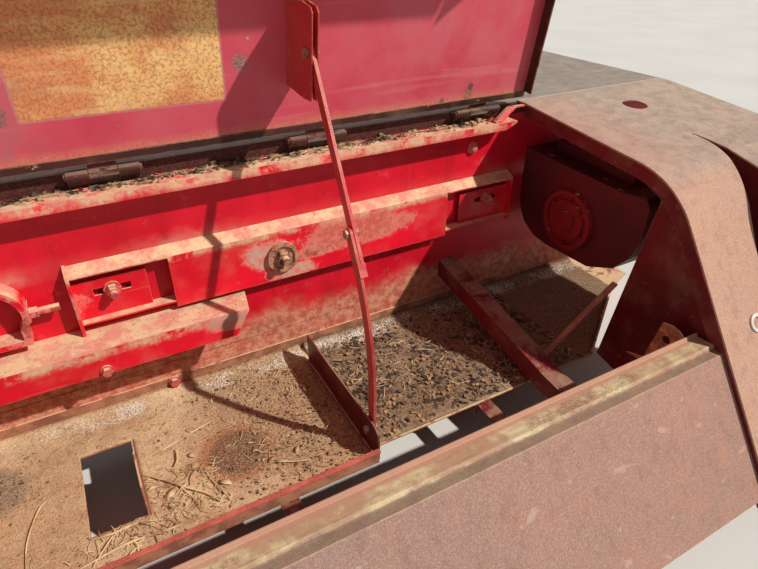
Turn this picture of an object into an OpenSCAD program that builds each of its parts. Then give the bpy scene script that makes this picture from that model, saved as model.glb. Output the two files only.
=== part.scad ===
// Twine box section of a square baler: compartment, hinged lid on a folding
// stay, the bale-case wall behind it and the curved hood over the gearbox.
// Millimetres. x runs along the box towards the hood, y towards the bale
// case, z up. The pieces are drawn in the box's own frame: x from the left
// end plate, y from the wall's front face, z from the front panel's lower
// edge. box_frame() then puts the origin at the middle of the wall's bolts.

/* [Compartment] */
// Length from the left end plate to the hood's edge
box_len = 1260; // [1100:10:1500]
// Length of the hood beyond the compartment
hood_len = 440; // [380:10:600]
// Thickness of the folded sheet panels
sheet_t = 3; // [2:0.5:4]
// Thickness of the bale-case wall
wall_t = 5; // [4:1:8]
// Lower edge of the wall
wall_low = -30; // [-60:5:0]
// Upper edge of the wall
wall_high = 500; // [490:5:505]

/* [Lid and hood outline] */
// Height of the lid's hinge axis
hinge_z = 500; // [480:5:540]
// Hinge axis in front of the wall
hinge_off = 16; // [14:1:22]
// Fall of the closed lid's flat part towards the front, degrees
top_slope = 6.3; // [3:0.1:10]
// Flat run from the hinge axis to the shoulder
top_run = 302; // [260:2:340]
// Outer radius of the shoulder
shoulder_r = 166; // [120:2:200]
// Lean of the side panels from upright, degrees
side_flare = 35.5; // [25:0.5:45]
// Straight run of the hood below the shoulder
hood_drop = 478; // [400:5:520]
// Straight run of the lid below the shoulder
lid_drop = 190; // [120:5:220]
// Flat run of the outer cover beyond the hood's slot
cover_run = 405; // [380:5:440]
// Outer radius of the outer cover's shoulder
cover_r = 130; // [110:5:170]
// Straight run of the outer cover below its shoulder
cover_drop = 360; // [300:5:400]

/* [Lid] */
// Thickness of the lid's sheet
lid_t = 2.5; // [2:0.5:4]
// Depth of the flanges round the lid
lid_flange = 22; // [15:1:30]
// Side clearance of the lid
lid_gap = 8; // [6:1:12]
// Gap between the hinge axis and the lid's lower edge
lid_start = 17; // [16:1:30]
// Swing from open to closed, degrees
lid_swing = 87; // [80:1:95]
// Number of hinges
hinge_count = 4; // [2:1:6]
// Outer radius of the hinge knuckles
knuckle_r = 7; // [6.5:0.5:10]
// Radius of the hinge pins
hinge_pin_r = 4.5; // [4:0.5:5.5]

/* [Folding stay] */
// Place of the stay along the box, left face of the lower bar
stay_x = 741; // [600:1:900]
// Thickness of the flat bars
bar_t = 5; // [4:1:8]
// Width of the flat bars
bar_w = 19; // [16:1:30]
// Pin of the upper bar: distance from the hinge along the lid
stay_pin_u = 172.5; // [160:0.5:190]
// Pin of the upper bar: distance from the lid's inner face
stay_pin_v = 81; // [75:0.5:85]
// Upper bar between its pin and the knee bolt
upper_len = 258.5; // [250:0.5:280]
// Angle at the knee between the upper bar and the line to the foot
knee_set = 16.3; // [10:0.1:18]
// Bend along the lower bar, degrees
bar_bend = 28.5; // [24:0.5:32]
// Straight run of the lower bar below the knee
bar_straight = 30; // [20:1:40]
// Foot bolt behind the tray's front flange
foot_back = 34; // [28:1:50]
// Foot bolt above the tray's floor
foot_rise = 41; // [36:1:45]
// Upper bar's tail below the knee bolt, up to the stop tab's end
tail_len = 66; // [55:1:70]
// Length of the stop tab
tab_len = 21; // [12:1:24]
// Radius of the stay's bolts
stay_bolt_r = 4; // [3:0.5:5]
// Clear width between the lid bracket's cheeks
cheek_gap = 7; // [6.5:0.5:12]

/* [Tray] */
// Height of the tray floor's upper face
tray_z = 54; // [45:1:65]
// Depth of the tray left of the divider
tray_depth = 345; // [335:1:360]
// Depth of the tray right of the divider
bay_depth = 318; // [300:1:330]
// Height of the tray's turned-up flanges
tray_flange = 28; // [20:1:40]
// Tray's straight front edge: its end before the hood's edge
bay_gap = 96; // [60:2:140]
// Tray's floor under the gearbox, beyond the hood's edge
floor_reach = 330; // [280:5:400]
// Height of the divider above the floor
divider_h = 64; // [55:1:80]

/* [Rails on the wall] */
// Height of the ledge under the lid
ledge_z = 475; // [465:1:482]
// Depth of the ledge
ledge_depth = 38; // [30:1:50]
// Height of the ledge's front lip
ledge_lip = 16; // [14:1:26]
// Top of the slide channel
channel_top = 344; // [330:1:360]
// Height of the slide channel
channel_h = 99; // [80:1:110]
// Depth of the slide channel
channel_depth = 24; // [18:1:32]
// Top of the lower rail
rail_top = 235; // [220:1:240]
// Leg of the lower rail's front flange
rail_h = 49; // [40:1:60]
// Depth of the lower rail
rail_depth = 75; // [60:1:80]

/* [Front panel] */
// Upper edge of the front panel
panel_top = 228; // [215:1:232]
// Lower edge of the front panel
panel_low = 22; // [0:1:30]
// Width of the panel's upper flange
panel_flange = 28; // [20:1:36]
// Panel face behind the hood's outer face
panel_inset = 7; // [5:1:12]

/* [Mounting bolts] */
// Bolt spacing along the wall
mount_dx = 1040; // [900:10:1100]
// Bolt spacing up the wall
mount_dz = 300; // [260:10:320]
// Height of the bolt pattern's centre
mount_z = 270; // [260:5:280]
// Radius of the bolt holes
mount_hole_r = 7; // [5:0.5:9]

/* [Hidden] */

$fn = 48;
red = "#a81c2a";
dark_red = "#5a1218";
rust = "#8d6a58";
pale_rust = "#a98d76";
steel = "#6d625c";
white = "#e4e2da";

hinge_y = -hinge_off;
hood_end = box_len + hood_len;
turn = 90 - side_flare - top_slope;
arc_len = shoulder_r * turn * PI / 180;
arc_steps = 14;
hood_run = top_run + arc_len + hood_drop;
lid_run = top_run + arc_len + lid_drop;
cover_end = cover_run + cover_r * turn * PI / 180 + cover_drop;
run_clear = 0.1;
joint_gap = 1;

// A sheet's profile: u along the developed sheet from the hinge axis, v
// inwards from its outline, run and r its flat run and its shoulder's radius.
function local_pt(u, v, run, r) =
    let (arc = r * turn * PI / 180,
         a = min(max((u - run) / arc, 0), 1) * turn,
         d = r - v,
         rest = max(u - run - arc, 0))
    u <= run ? [u, v]
    : [run + d * sin(a) + rest * cos(a), r - d * cos(a) + rest * sin(a)];
// The same point in the box's y and z.
function to_box(p) = [
    hinge_y - p[0] * cos(top_slope) + p[1] * sin(top_slope),
    hinge_z - p[0] * sin(top_slope) - p[1] * cos(top_slope)
];
function outline(u, v, run = top_run, r = shoulder_r) = to_box(local_pt(u, v, run, r));
function stations(u0, u1, run = top_run, r = shoulder_r) = concat(
    [u0],
    [for (i = [0:arc_steps]) let (u = run + r * turn * PI / 180 * i / arc_steps)
        if (u > u0 + 1 && u < u1 - 1) u],
    [u1]
);
function edge(u0, u1, v, run = top_run, r = shoulder_r) =
    [for (u = stations(u0, u1, run, r)) outline(u, v, run, r)];
function backward(list) = [for (i = [len(list) - 1:-1:0]) list[i]];
function band(u0, u1, v0, v1, run = top_run, r = shoulder_r) =
    concat(edge(u0, u1, v0, run, r), backward(edge(u0, u1, v1, run, r)));
function turned(p, a) = let (q = p - [hinge_y, hinge_z]) [
    hinge_y + q[0] * cos(a) - q[1] * sin(a),
    hinge_z + q[0] * sin(a) + q[1] * cos(a)
];
function toward(p, a, d) = p + d * [cos(a), sin(a)];
function angle_of(p, q) = atan2(q[1] - p[1], q[0] - p[0]);

// The stay at rest, with the lid open.
pin_rest = turned(outline(stay_pin_u, stay_pin_v), -lid_swing);
foot = [foot_back - tray_depth, tray_z + foot_rise];
reach = norm(foot - pin_rest);
lower_len = sqrt(reach * reach - pow(upper_len * sin(knee_set), 2)) - upper_len * cos(knee_set);
bar_dir = angle_of(pin_rest, foot) - asin(lower_len * sin(knee_set) / reach);
knee = toward(pin_rest, bar_dir, upper_len);
// The lower bar's centre line starts along the upper bar, bends and runs
// straight to the foot: these are the bend's radius and the last run.
foot_u = lower_len * cos(knee_set);
foot_v = lower_len * sin(knee_set);
bend_r = ((foot_u - bar_straight) * sin(bar_bend) - foot_v * cos(bar_bend)) / (1 - cos(bar_bend));
last_run = (foot_v - bend_r * (1 - cos(bar_bend))) / sin(bar_bend);
upper_x = stay_x + bar_t + joint_gap;
cheek_t = 2;
cheek_x = upper_x + bar_t / 2 - cheek_gap / 2;
divider_x = stay_x - joint_gap - sheet_t;

module box_frame() {
    translate([-box_len / 2, -wall_t, -mount_z]) children();
}
// Extrudes a drawing in y and z from x0 to x1.
module along_x(x0, x1) {
    translate([x0, 0, 0]) rotate([90, 0, 90]) linear_extrude(x1 - x0) children();
}
module block(x, y, z) {
    translate([x[0], y[0], z[0]]) cube([x[1] - x[0], y[1] - y[0], z[1] - z[0]]);
}
module rod_x(x0, x1, p, r) {
    translate([x0, p[0], p[1]]) rotate([0, 90, 0]) cylinder(h = x1 - x0, r = r);
}
module rod_y(p, y0, y1, r) {
    translate([p[0], y1, p[1]]) rotate([90, 0, 0]) cylinder(h = y1 - y0, r = r);
}
module hex_x(x0, x1, p, r) {
    translate([x0, p[0], p[1]]) rotate([0, 90, 0]) cylinder(h = x1 - x0, r = r, $fn = 6);
}
module hex_y(p, y0, y1, r) {
    translate([p[0], y1, p[1]]) rotate([90, 0, 0]) cylinder(h = y1 - y0, r = r, $fn = 6);
}
module swing_open() {
    translate([0, hinge_y, hinge_z]) rotate([-lid_swing, 0, 0])
        translate([0, -hinge_y, -hinge_z]) children();
}
module strap(p, q, size) {
    hull() {
        translate(p) cube(size);
        translate(q) cube(size);
    }
}

// Bale-case wall
module case_wall() {
    color(red) box_frame() difference() {
        block([0, hood_end], [0, wall_t], [wall_low, wall_high]);
        for (sx = [-1, 1], sz = [-1, 1])
            rod_y([box_len / 2 + sx * mount_dx / 2, mount_z + sz * mount_dz / 2],
                -1, wall_t + 1, mount_hole_r);
    }
}

// Ledge under the lid, an angle with its end cut on the skew
ledge_t = 4;
ledge_end = box_len - 31;
ledge_skew = 29;
module top_ledge() {
    color(red) box_frame() difference() {
        along_x(sheet_t, ledge_end) polygon([
            [0, ledge_z], [-8, ledge_z], [-8, ledge_z + 3], [-10, ledge_z + 3], [-10, ledge_z],
            [-ledge_depth, ledge_z], [-ledge_depth, ledge_z - ledge_lip],
            [-ledge_depth + ledge_t, ledge_z - ledge_lip],
            [-ledge_depth + ledge_t, ledge_z - ledge_t], [0, ledge_z - ledge_t]
        ]);
        translate([0, 1, 0]) rotate([90, 0, 0]) linear_extrude(ledge_depth + 2) polygon([
            [ledge_end + 1, ledge_z], [ledge_end + 1, ledge_z - ledge_lip - 1],
            [ledge_end - ledge_skew, ledge_z - ledge_lip - 1], [ledge_end, ledge_z - ledge_t]
        ]);
    }
}
strap_w = 14;
tab_z = wall_high - 4;
module ledge_strap() {
    color(red) box_frame() {
        strap([ledge_end - 52, -ledge_depth + 4, ledge_z],
            [box_len - 40, -ledge_depth + 14, tab_z], [strap_w, 12, 3]);
        block([box_len - 38, box_len], [-ledge_depth + 15, -ledge_depth + 25], [tab_z, tab_z + 3]);
    }
}

// Slide channel with an open recess at each end
recess_l = 154;
recess_r = 173;
end_t = 5;
channel_x0 = 360;
channel_x1 = box_len - 9;
channel_low = channel_top - channel_h;
channel_rise = 12;
module slide_channel() {
    color(red) box_frame() {
        along_x(channel_x0 + 1, channel_x1 - 1) polygon([
            [0, channel_top + channel_rise], [-channel_depth, channel_top],
            [-channel_depth, channel_top - sheet_t], [0, channel_top + channel_rise - sheet_t]
        ]);
        block([channel_x0 + recess_l, channel_x1 - recess_r],
            [-channel_depth, -channel_depth + sheet_t], [channel_low, channel_top - 1]);
        along_x(channel_x0, channel_x0 + end_t) polygon([
            [0, rail_top], [-channel_depth - 2, rail_top], [-channel_depth - 2, channel_top + 2],
            [0, channel_top + channel_rise + 2]
        ]);
        along_x(channel_x1 - sheet_t, channel_x1) polygon([
            [0, channel_low], [-channel_depth, channel_low], [-channel_depth, channel_top],
            [0, channel_top + channel_rise]
        ]);
    }
}
// Angle in a recess: a slotted plate on a shelf, with a dark gap above it
// and beside it
plate_y = -10;
slot_h = 16;
slide_slot = [58, 12];
module recess(x0, x1, plate_x, bolt_x) {
    low = channel_low + 12;
    block([x0, x1], [-channel_depth, 0], [low - sheet_t, low]);
    difference() {
        block(plate_x, [plate_y, plate_y + sheet_t], [low, channel_top - sheet_t - slot_h]);
        block([bolt_x - slide_slot[0] / 2, bolt_x + slide_slot[0] / 2],
            [plate_y - 1, plate_y + sheet_t + 1],
            [bolt_z - slide_slot[1] / 2, bolt_z + slide_slot[1] / 2]);
    }
}
module recess_left() {
    x0 = channel_x0 + end_t;
    color(red) box_frame() recess(x0, channel_x0 + recess_l, [x0, x0 + 113], channel_x0 + bolt_in);
}
module recess_right() {
    x1 = channel_x1 - sheet_t;
    color(dark_red) box_frame() recess(channel_x1 - recess_r, x1, [x1 - 128, x1], channel_x1 - bolt_in);
}
bolt_z = 303;
bolt_in = 62;
module slide_bolts() {
    color(steel) box_frame() for (x = [channel_x0 + bolt_in, channel_x1 - bolt_in]) {
        rod_y([x, bolt_z], plate_y - 3, plate_y, 14);
        hex_y([x, bolt_z], plate_y - 12, plate_y - 3, 11);
        hex_y([x, bolt_z], plate_y - 19, plate_y - 12, 9.5);
        rod_y([x, bolt_z], plate_y - 25, plate_y - 19, 6);
    }
}
boss_x = 711;
boss_z = 293;
boss_r = 29.5;
module bearing_boss() {
    color(steel) box_frame() {
        difference() {
            rod_y([boss_x, boss_z], -channel_depth - 8, -channel_depth, boss_r);
            rod_y([boss_x, boss_z], -channel_depth - 9, -channel_depth - 4, boss_r - 7);
        }
        hex_y([boss_x, boss_z], -channel_depth - 16, -channel_depth - 4, 14);
        rod_y([boss_x, boss_z], -channel_depth - 28, -channel_depth - 16, 8);
    }
}

// Lower rail, an angle with its right end cut on the skew
rail_end = 638;
rail_skew = 14;
rail_nip = 27;
module lower_rail() {
    color(red) box_frame() difference() {
        along_x(sheet_t, rail_end) polygon([
            [0, rail_top], [-rail_depth, rail_top], [-rail_depth, rail_top - rail_h],
            [-rail_depth + ledge_t, rail_top - rail_h],
            [-rail_depth + ledge_t, rail_top - ledge_t], [0, rail_top - ledge_t]
        ]);
        translate([0, 0, rail_top - rail_h - 1]) linear_extrude(rail_h + 2) polygon([
            [rail_end + 1, 1], [rail_end, 1], [rail_end - rail_skew, -rail_depth - 1],
            [rail_end + 1, -rail_depth - 1]
        ]);
        translate([0, 1, 0]) rotate([90, 0, 0]) linear_extrude(rail_depth + 2) polygon([
            [rail_end + 1, rail_top - ledge_t], [rail_end + 1, rail_top - rail_h - 1],
            [rail_end - rail_skew - rail_nip, rail_top - rail_h - 1],
            [rail_end - rail_skew, rail_top - ledge_t]
        ]);
    }
}

module rail_bolt() {
    p = [380, rail_top - rail_h + 8];
    color(rust) box_frame() {
        rod_y(p, -rail_depth - 3, -rail_depth, 10);
        hex_y(p, -rail_depth - 10, -rail_depth - 3, 8);
    }
}

// U-shaped strap with a collared stop rod, left of the channel
stop_x = 246;
stop_z = 306;
stop_r = 54;
stop_bar = 10;
stop_depth = 34;
module stop_strap() {
    color(red) box_frame() rotate([90, 0, 0])
        linear_extrude(stop_depth) difference() {
            union() {
                translate([stop_x, stop_z]) circle(r = stop_r);
                translate([stop_x + stop_r - 8, stop_z - 16]) square([8, 24]);
                translate([stop_x, stop_z - stop_r]) square([stop_r - 8, stop_r]);
                translate([stop_x - 90, stop_z - stop_r]) square([90, 2 * stop_r]);
            }
            translate([stop_x, stop_z]) circle(r = stop_r - stop_bar);
            translate([stop_x - 1, stop_z - stop_r + stop_bar])
                square([stop_r - 7 - stop_bar, stop_r - stop_bar]);
            translate([stop_x - 91, stop_z - stop_r + stop_bar])
                square([91, 2 * (stop_r - stop_bar)]);
        }
}
rod_r = 6;
rod_yz = [-20, 300];
module stop_rod() {
    color(red) box_frame() {
        hex_x(stop_x + stop_r, stop_x + stop_r + 12, rod_yz, 9.5);
        rod_x(stop_x + stop_r + 12, 342, rod_yz, rod_r);
    }
}
module rail_wedge() {
    color(red) box_frame() translate([0, -2, 0]) rotate([90, 0, 0]) linear_extrude(28)
        polygon([[stop_x - 84, rail_top], [stop_x - 16, rail_top],
            [stop_x - 24, stop_z - stop_r], [stop_x - 78, stop_z - stop_r]]);
}

// Tray with turned-up flanges, the ball-strap hole and its bent-up tab
bay_end = box_len - bay_gap;
floor_end = box_len + floor_reach;
floor_cut = [[box_len, -bay_depth], [box_len + 248, -150]];
hole = [[302, 382], [-269, -101]];
module tray() {
    color(rust) box_frame() {
        difference() {
            union() {
                block([sheet_t, divider_x], [-tray_depth, 0], [tray_z - sheet_t, tray_z]);
                translate([0, 0, tray_z - sheet_t]) linear_extrude(sheet_t) polygon([
                    [divider_x, 0], [divider_x, -bay_depth], [bay_end, -bay_depth],
                    floor_cut[0], floor_cut[1], [floor_end, -120], [floor_end, 0]
                ]);
            }
            block(hole[0], hole[1], [tray_z - sheet_t - 1, tray_z + 1]);
        }
        translate([0, 0, tray_z]) linear_extrude(8) polygon([
            floor_cut[0], floor_cut[0] + [0, 4], floor_cut[1] + [-3, 4], floor_cut[1]
        ]);
        block([sheet_t, box_len], [-sheet_t, 0], [tray_z, tray_z + tray_flange]);
        block([sheet_t, divider_x], [-tray_depth - sheet_t, -tray_depth],
            [tray_z - sheet_t, tray_z + tray_flange]);
        block([sheet_t, divider_x], [-tray_depth - 9, -tray_depth - sheet_t],
            [tray_z + tray_flange - sheet_t, tray_z + tray_flange]);
        hole_tab();
    }
}
module hole_tab() {
    translate([hole[0][1], 0, tray_z]) rotate([90, 0, 90]) linear_extrude(sheet_t)
        polygon([[-268, 0], [-143, 0], [-160, 30], [-250, 42]]);
}
module tray_bolt() {
    p = [481, tray_z + 19];
    color(rust) box_frame() {
        rod_y(p, -sheet_t - 3, -sheet_t, 11);
        hex_y(p, -sheet_t - 11, -sheet_t - 3, 9);
    }
}
nose_r = 26;
module divider() {
    color(dark_red) box_frame() along_x(divider_x, divider_x + sheet_t) difference() {
        union() {
            translate([-tray_depth, tray_z]) square([tray_depth - 48, divider_h - nose_r]);
            translate([-tray_depth + nose_r, tray_z]) square([tray_depth - 48 - nose_r, divider_h]);
            translate([-tray_depth + nose_r, tray_z + divider_h - nose_r]) circle(r = nose_r);
        }
        translate(foot) circle(r = stay_bolt_r + run_clear);
    }
}
module divider_nut() {
    color(steel) box_frame() {
        rod_x(divider_x - 2, divider_x + sheet_t, foot, stay_bolt_r);
        hex_x(divider_x - 7, divider_x, foot, 7.5);
    }
}

// Triangular hangers that carry the tray from the wall
hanger_t = 4;
hanger_x = [60, 560, 960, box_len + 300];
braced = 3;
module tray_hangers() {
    color(dark_red) box_frame() for (x = hanger_x) {
        depth = x < box_len ? bay_depth : 120;
        along_x(x, x + hanger_t) polygon([
            [0, tray_z - sheet_t], [-depth, tray_z - sheet_t],
            [-depth, tray_z - sheet_t - 22], [0, wall_low + 6]
        ]);
    }
}
// Inner face of the front panel at height z
function panel_face(z) =
    let (p = outline(top_run + arc_len, 0))
    p[0] - (p[1] - z) * tan(side_flare) + panel_inset / cos(side_flare);
function panel_in(z) = panel_face(z) + sheet_t / cos(side_flare);
beam_w = 40;
beam_x = box_len - 177;
module cross_beam() {
    color(dark_red) box_frame() along_x(beam_x, beam_x + beam_w) polygon([
        [0, 172], [-bay_depth - 32, 100], [panel_in(64), 64], [panel_in(28), 28],
        [-bay_depth - 32, 60], [0, 132]
    ]);
}
module panel_braces() {
    z1 = panel_low + 6;
    color(dark_red) box_frame() for (i = [0:braced - 1])
        along_x(hanger_x[i] + hanger_t, hanger_x[i] + hanger_t + 30) polygon([
            [-bay_depth + 30, tray_z - sheet_t], [-bay_depth + 30, tray_z - sheet_t - 5],
            [panel_in(z1), z1], [panel_in(z1 + 5), z1 + 5]
        ]);
}

// Front panel: rolled lip, flange, step and flared face
module front_panel() {
    y0 = panel_face(panel_top);
    n = [cos(side_flare), -sin(side_flare)] * sheet_t;
    low = [panel_face(panel_low), panel_low];
    top = [panel_face(panel_top - 8), panel_top - 8];
    color(rust) box_frame() along_x(sheet_t, box_len) polygon([
        low, top, [y0 + 9, panel_top - 7], [y0 + 13, panel_top],
        [y0 + 13 + panel_flange, panel_top - 2], [y0 + 15 + panel_flange, panel_top + 3],
        [y0 + 18 + panel_flange, panel_top + 3], [y0 + 17 + panel_flange, panel_top - 5],
        [y0 + 14, panel_top - 3], [y0 + 11, panel_top - 10], top + n,
        low + n + [0, sheet_t], low + [22, sheet_t], low + [22, 0]
    ]);
}

// Left end plate, finished to the lid's outline
module left_end_plate() {
    color(rust) box_frame() along_x(0, sheet_t) polygon(concat(
        [[0, wall_low], [0, 478]],
        edge(30, top_run + arc_len + lid_drop - 12, lid_gap),
        [[panel_face(panel_top - 14), panel_top - 14], [panel_face(panel_low), panel_low],
         [-tray_depth, wall_low]]
    ));
}

// Hood: the fender beside the compartment; beyond its slot the outer cover
// runs on flat before it turns down
hood_t = 3;
hood_hole = [box_len + 222, -110];
hood_hole_r = 26;
slot_y = -262;
beyond = 900;
fender_edge = [[203, slot_y], [201, -300], [184, -360], [165, -405], [150, -450], [139, -486],
    [128, -560], [118, -720]];
cover_edge = [[206, slot_y], [209, -300], [208, -335], [197, -372], [186, -410], [180, -480],
    [176, -beyond]];
module hood_skin() {
    color(pale_rust) box_frame() difference() {
        union() {
            along_x(box_len, hood_end) polygon(band(4, hood_run, -hood_t, 0));
            along_x(box_len, hood_end) polygon([
                outline(4.5, 0), outline(4.5, -hood_t), [4, wall_high + hood_t],
                [4, wall_high], [0, wall_high]
            ]);
        }
        translate([box_len, 0, -100]) linear_extrude(hinge_z + 200) polygon(concat(
            fender_edge, [[118, -beyond], [hood_len + 1, -beyond], [hood_len + 1, slot_y]]));
        translate([hood_hole[0], hood_hole[1], hinge_z - 60]) cylinder(h = 80, r = hood_hole_r);
    }
}
rim_depth = 25;
module hood_rim() {
    color(dark_red) box_frame() along_x(box_len, box_len + hood_t)
        polygon(band(6, hood_run, 0, rim_depth));
}
module outer_cover() {
    color(pale_rust) box_frame() difference() {
        along_x(box_len + 170, hood_end) polygon(band(230, cover_end, -hood_t, 0, cover_run, cover_r));
        translate([box_len, 0, -100]) linear_extrude(hinge_z + 200) polygon(concat(
            cover_edge, [[100, -beyond], [100, 0], [hood_len + 1, 0], [hood_len + 1, slot_y]]));
    }
}
cover_side_x = box_len + 211;
module cover_side() {
    color(dark_red) box_frame() along_x(cover_side_x, cover_side_x + hood_t) polygon(concat(
        edge(248, cover_end - 4, 0, cover_run, cover_r), [[-520, 90], [-262, 160]]));
}
module hood_end_rim() {
    color(dark_red) box_frame() along_x(hood_end - hood_t, hood_end)
        polygon(band(6, cover_end, 0, 2 * rim_depth, cover_run, cover_r));
}
deck_depth = 420;
module deck_plate() {
    color(pale_rust) box_frame()
        block([0, hood_end], [4.3, deck_depth], [wall_high, wall_high + hood_t]);
}
gusset_x = box_len + 6;
module side_gusset() {
    color(dark_red) box_frame() along_x(gusset_x, gusset_x + hood_t) polygon(concat(
        edge(top_run + arc_len * 6 / arc_steps, hood_run - 60, 0), [[-470, 30], [-322, 60]]));
}
module corner_strap() {
    color(rust) box_frame() strap([bay_end - 8, -bay_depth + 37, tray_z],
        [box_len + hood_t, -bay_depth - 12, tray_z + 175], [3, 12, 3]);
}
module corner_bracket() {
    color(pale_rust) box_frame() along_x(box_len - 22, box_len - 18) difference() {
        polygon([
            [-402, 130], [-436, 141], [-453, 229], [-471, 233], [-487, 229], [-498, 221],
            [-505, 215], [panel_in(200), 200], [panel_in(140), 140]
        ]);
        translate([-467, 201]) circle(r = 8);
    }
}
ring_u = top_run + arc_len + 186;
module latch_ring() {
    c = outline(ring_u, -hood_t);
    color(white) box_frame() translate([box_len + 87, c[0], c[1]])
        rotate([90 - side_flare, 0, 0]) rotate_extrude() translate([10, 0]) square([6, 3]);
}

// Gearbox under the hood
case_x = box_len + 40;
case_d = 160;
cap_yz = [-157, 288];
function case_top(y) = 398 + y * 10 / 268;
module gearbox_case() {
    color(dark_red) box_frame() along_x(case_x, case_x + case_d) polygon([
        [0, case_top(0)], [-268, case_top(-268)], [-318, 396], [-331, 380], [-330, 321], [-315, 270],
        [-284, 233], [-223, 207], [-104, 203], [-62, 208], [-25, 229], [-5, 263], [0, 300]
    ]);
}
module gearbox_cover() {
    x0 = case_x + 50;
    color(dark_red) box_frame() {
        along_x(x0, case_x + case_d - 20) polygon([
            [-40, case_top(-40)], [-40, 418], [-90, 424], [-215, 416], [-250, 404], [-250, case_top(-250)]
        ]);
        for (x = [x0 + 25, case_x + case_d - 45], y = [-70, -135, -200])
            translate([x, y, 405]) cylinder(h = 24 + y / 20, r = 8, $fn = 6);
    }
}
cap_r = 63;
module gearbox_cap() {
    color(red) box_frame() {
        difference() {
            rod_x(case_x - 14, case_x, cap_yz, cap_r);
            rod_x(case_x - 15, case_x - 6, cap_yz, cap_r - 9);
        }
        rod_x(case_x - 12, case_x - 6, cap_yz, cap_r - 20);
        rod_x(case_x - 18, case_x - 12, cap_yz, 20);
        for (a = [30:60:330])
            hex_x(case_x - 12, case_x - 6, toward(cap_yz, a, cap_r - 14.5), 4.5);
    }
}
module gearbox_shaft() {
    x1 = case_x + case_d;
    color(steel) box_frame() {
        rod_x(x1, x1 + 18, cap_yz, 42);
        rod_x(x1 + 18, hood_end - 30, cap_yz, 17);
    }
}

// Hinges
group_w = 102;
root_w = 30;
lid_w = group_w - 2 * root_w - 2 * joint_gap;
first_hinge = 60;
hinge_step = (box_len - 68 - group_w - first_hinge) / (hinge_count - 1);
hinge_xs = [for (i = [0:hinge_count - 1]) first_hinge + i * hinge_step];
leaf_t = 3;
module hinge_leaves() {
    color(red) box_frame() for (x = hinge_xs) {
        block([x, x + group_w], [-leaf_t, 0], [ledge_z, wall_high]);
        for (x0 = [x, x + group_w - root_w])
            along_x(x0, x0 + root_w) difference() {
                union() {
                    translate([hinge_y, hinge_z]) circle(r = knuckle_r);
                    polygon([
                        [hinge_y - 2, hinge_z - knuckle_r + 0.5], [-leaf_t, ledge_z + 6],
                        [-leaf_t, wall_high - 1], [hinge_y + 4, hinge_z + knuckle_r - 2]
                    ]);
                }
                translate([hinge_y, hinge_z]) circle(r = hinge_pin_r);
            }
    }
}
module hinge_pins() {
    color(steel) box_frame() for (x = hinge_xs)
        rod_x(x - 3, x + group_w + 3, [hinge_y, hinge_z], hinge_pin_r);
}
lid_x0 = sheet_t + lid_gap;
lid_x1 = box_len - lid_gap;
lid_end = lid_run - lid_t;
module lid_panel() {
    color(red) box_frame() swing_open()
        along_x(lid_x0, lid_x1) polygon(band(lid_start, lid_run, -lid_t, 0));
}
hem_w = 12;
module lid_edges() {
    color(red) box_frame() swing_open() {
        for (x = [lid_x0, lid_x1 - lid_t])
            along_x(x, x + lid_t) polygon(band(lid_start + hem_w, lid_end - lid_flange / 2, 0, lid_flange));
        along_x(lid_x0, lid_x1) polygon(band(lid_start, lid_start + hem_w, 0, lid_t));
        along_x(lid_x0, lid_x1) polygon(band(lid_end, lid_run, 0, lid_flange / 2));
    }
}
module lid_hinge_leaves() {
    color(red) box_frame() swing_open() for (x = hinge_xs) {
        along_x(x, x + group_w) polygon(band(lid_start + 1, lid_start + 36, -lid_t - leaf_t, -lid_t));
        along_x(x + root_w + joint_gap, x + root_w + joint_gap + lid_w) difference() {
            union() {
                translate([hinge_y, hinge_z]) circle(r = knuckle_r);
                polygon(band(2, lid_start + 2, -lid_t - leaf_t, -lid_t));
            }
            translate([hinge_y, hinge_z]) circle(r = hinge_pin_r + run_clear);
        }
    }
}
module lid_bracket() {
    color(red) box_frame() swing_open() for (x = [cheek_x - cheek_t, cheek_x + cheek_gap])
        along_x(x, x + cheek_t) difference() {
            polygon([for (p = [[98, 0], [222, 0], [236, 62], [236, 90], [230, 97], [108, 97], [102, 66]])
                outline(p[0], p[1])]);
            translate(outline(stay_pin_u, stay_pin_v)) circle(r = stay_bolt_r);
        }
}
module lid_pin() {
    p = outline(stay_pin_u, stay_pin_v);
    color(steel) box_frame() swing_open() {
        rod_x(cheek_x - cheek_t - 2, cheek_x + cheek_gap + cheek_t + 5, p, stay_bolt_r);
        hex_x(cheek_x - cheek_t - 5, cheek_x - cheek_t, p, 7.5);
        hex_x(cheek_x + cheek_gap + cheek_t, cheek_x + cheek_gap + cheek_t + 5, p, 7.5);
    }
}

// Folding stay
tab_gap = 0.3;
tab_t = 3;
module stay_upper() {
    color(red) box_frame() {
        along_x(upper_x, upper_x + bar_t) difference() {
            translate(pin_rest) rotate(bar_dir) {
                circle(d = bar_w);
                translate([0, -bar_w / 2]) square([upper_len + tail_len, bar_w]);
                translate([upper_len + tail_len - tab_len, -bar_w / 2 - tab_gap - tab_t])
                    square([tab_len, bar_w / 2]);
            }
            translate(pin_rest) circle(r = stay_bolt_r + run_clear);
            translate(knee) circle(r = stay_bolt_r);
        }
        along_x(stay_x - 1, upper_x) translate(knee) rotate(bar_dir)
            translate([tail_len - tab_len, -bar_w / 2 - tab_gap - tab_t]) square([tab_len, tab_t]);
    }
}
module knee_bolt() {
    color(steel) box_frame() {
        rod_x(stay_x - run_clear - 1, upper_x + bar_t + 3, knee, stay_bolt_r);
        hex_x(stay_x - run_clear - 5, stay_x - run_clear, knee, 7.5);
        hex_x(upper_x + bar_t, upper_x + bar_t + 5, knee, 7.5);
    }
}
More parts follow.
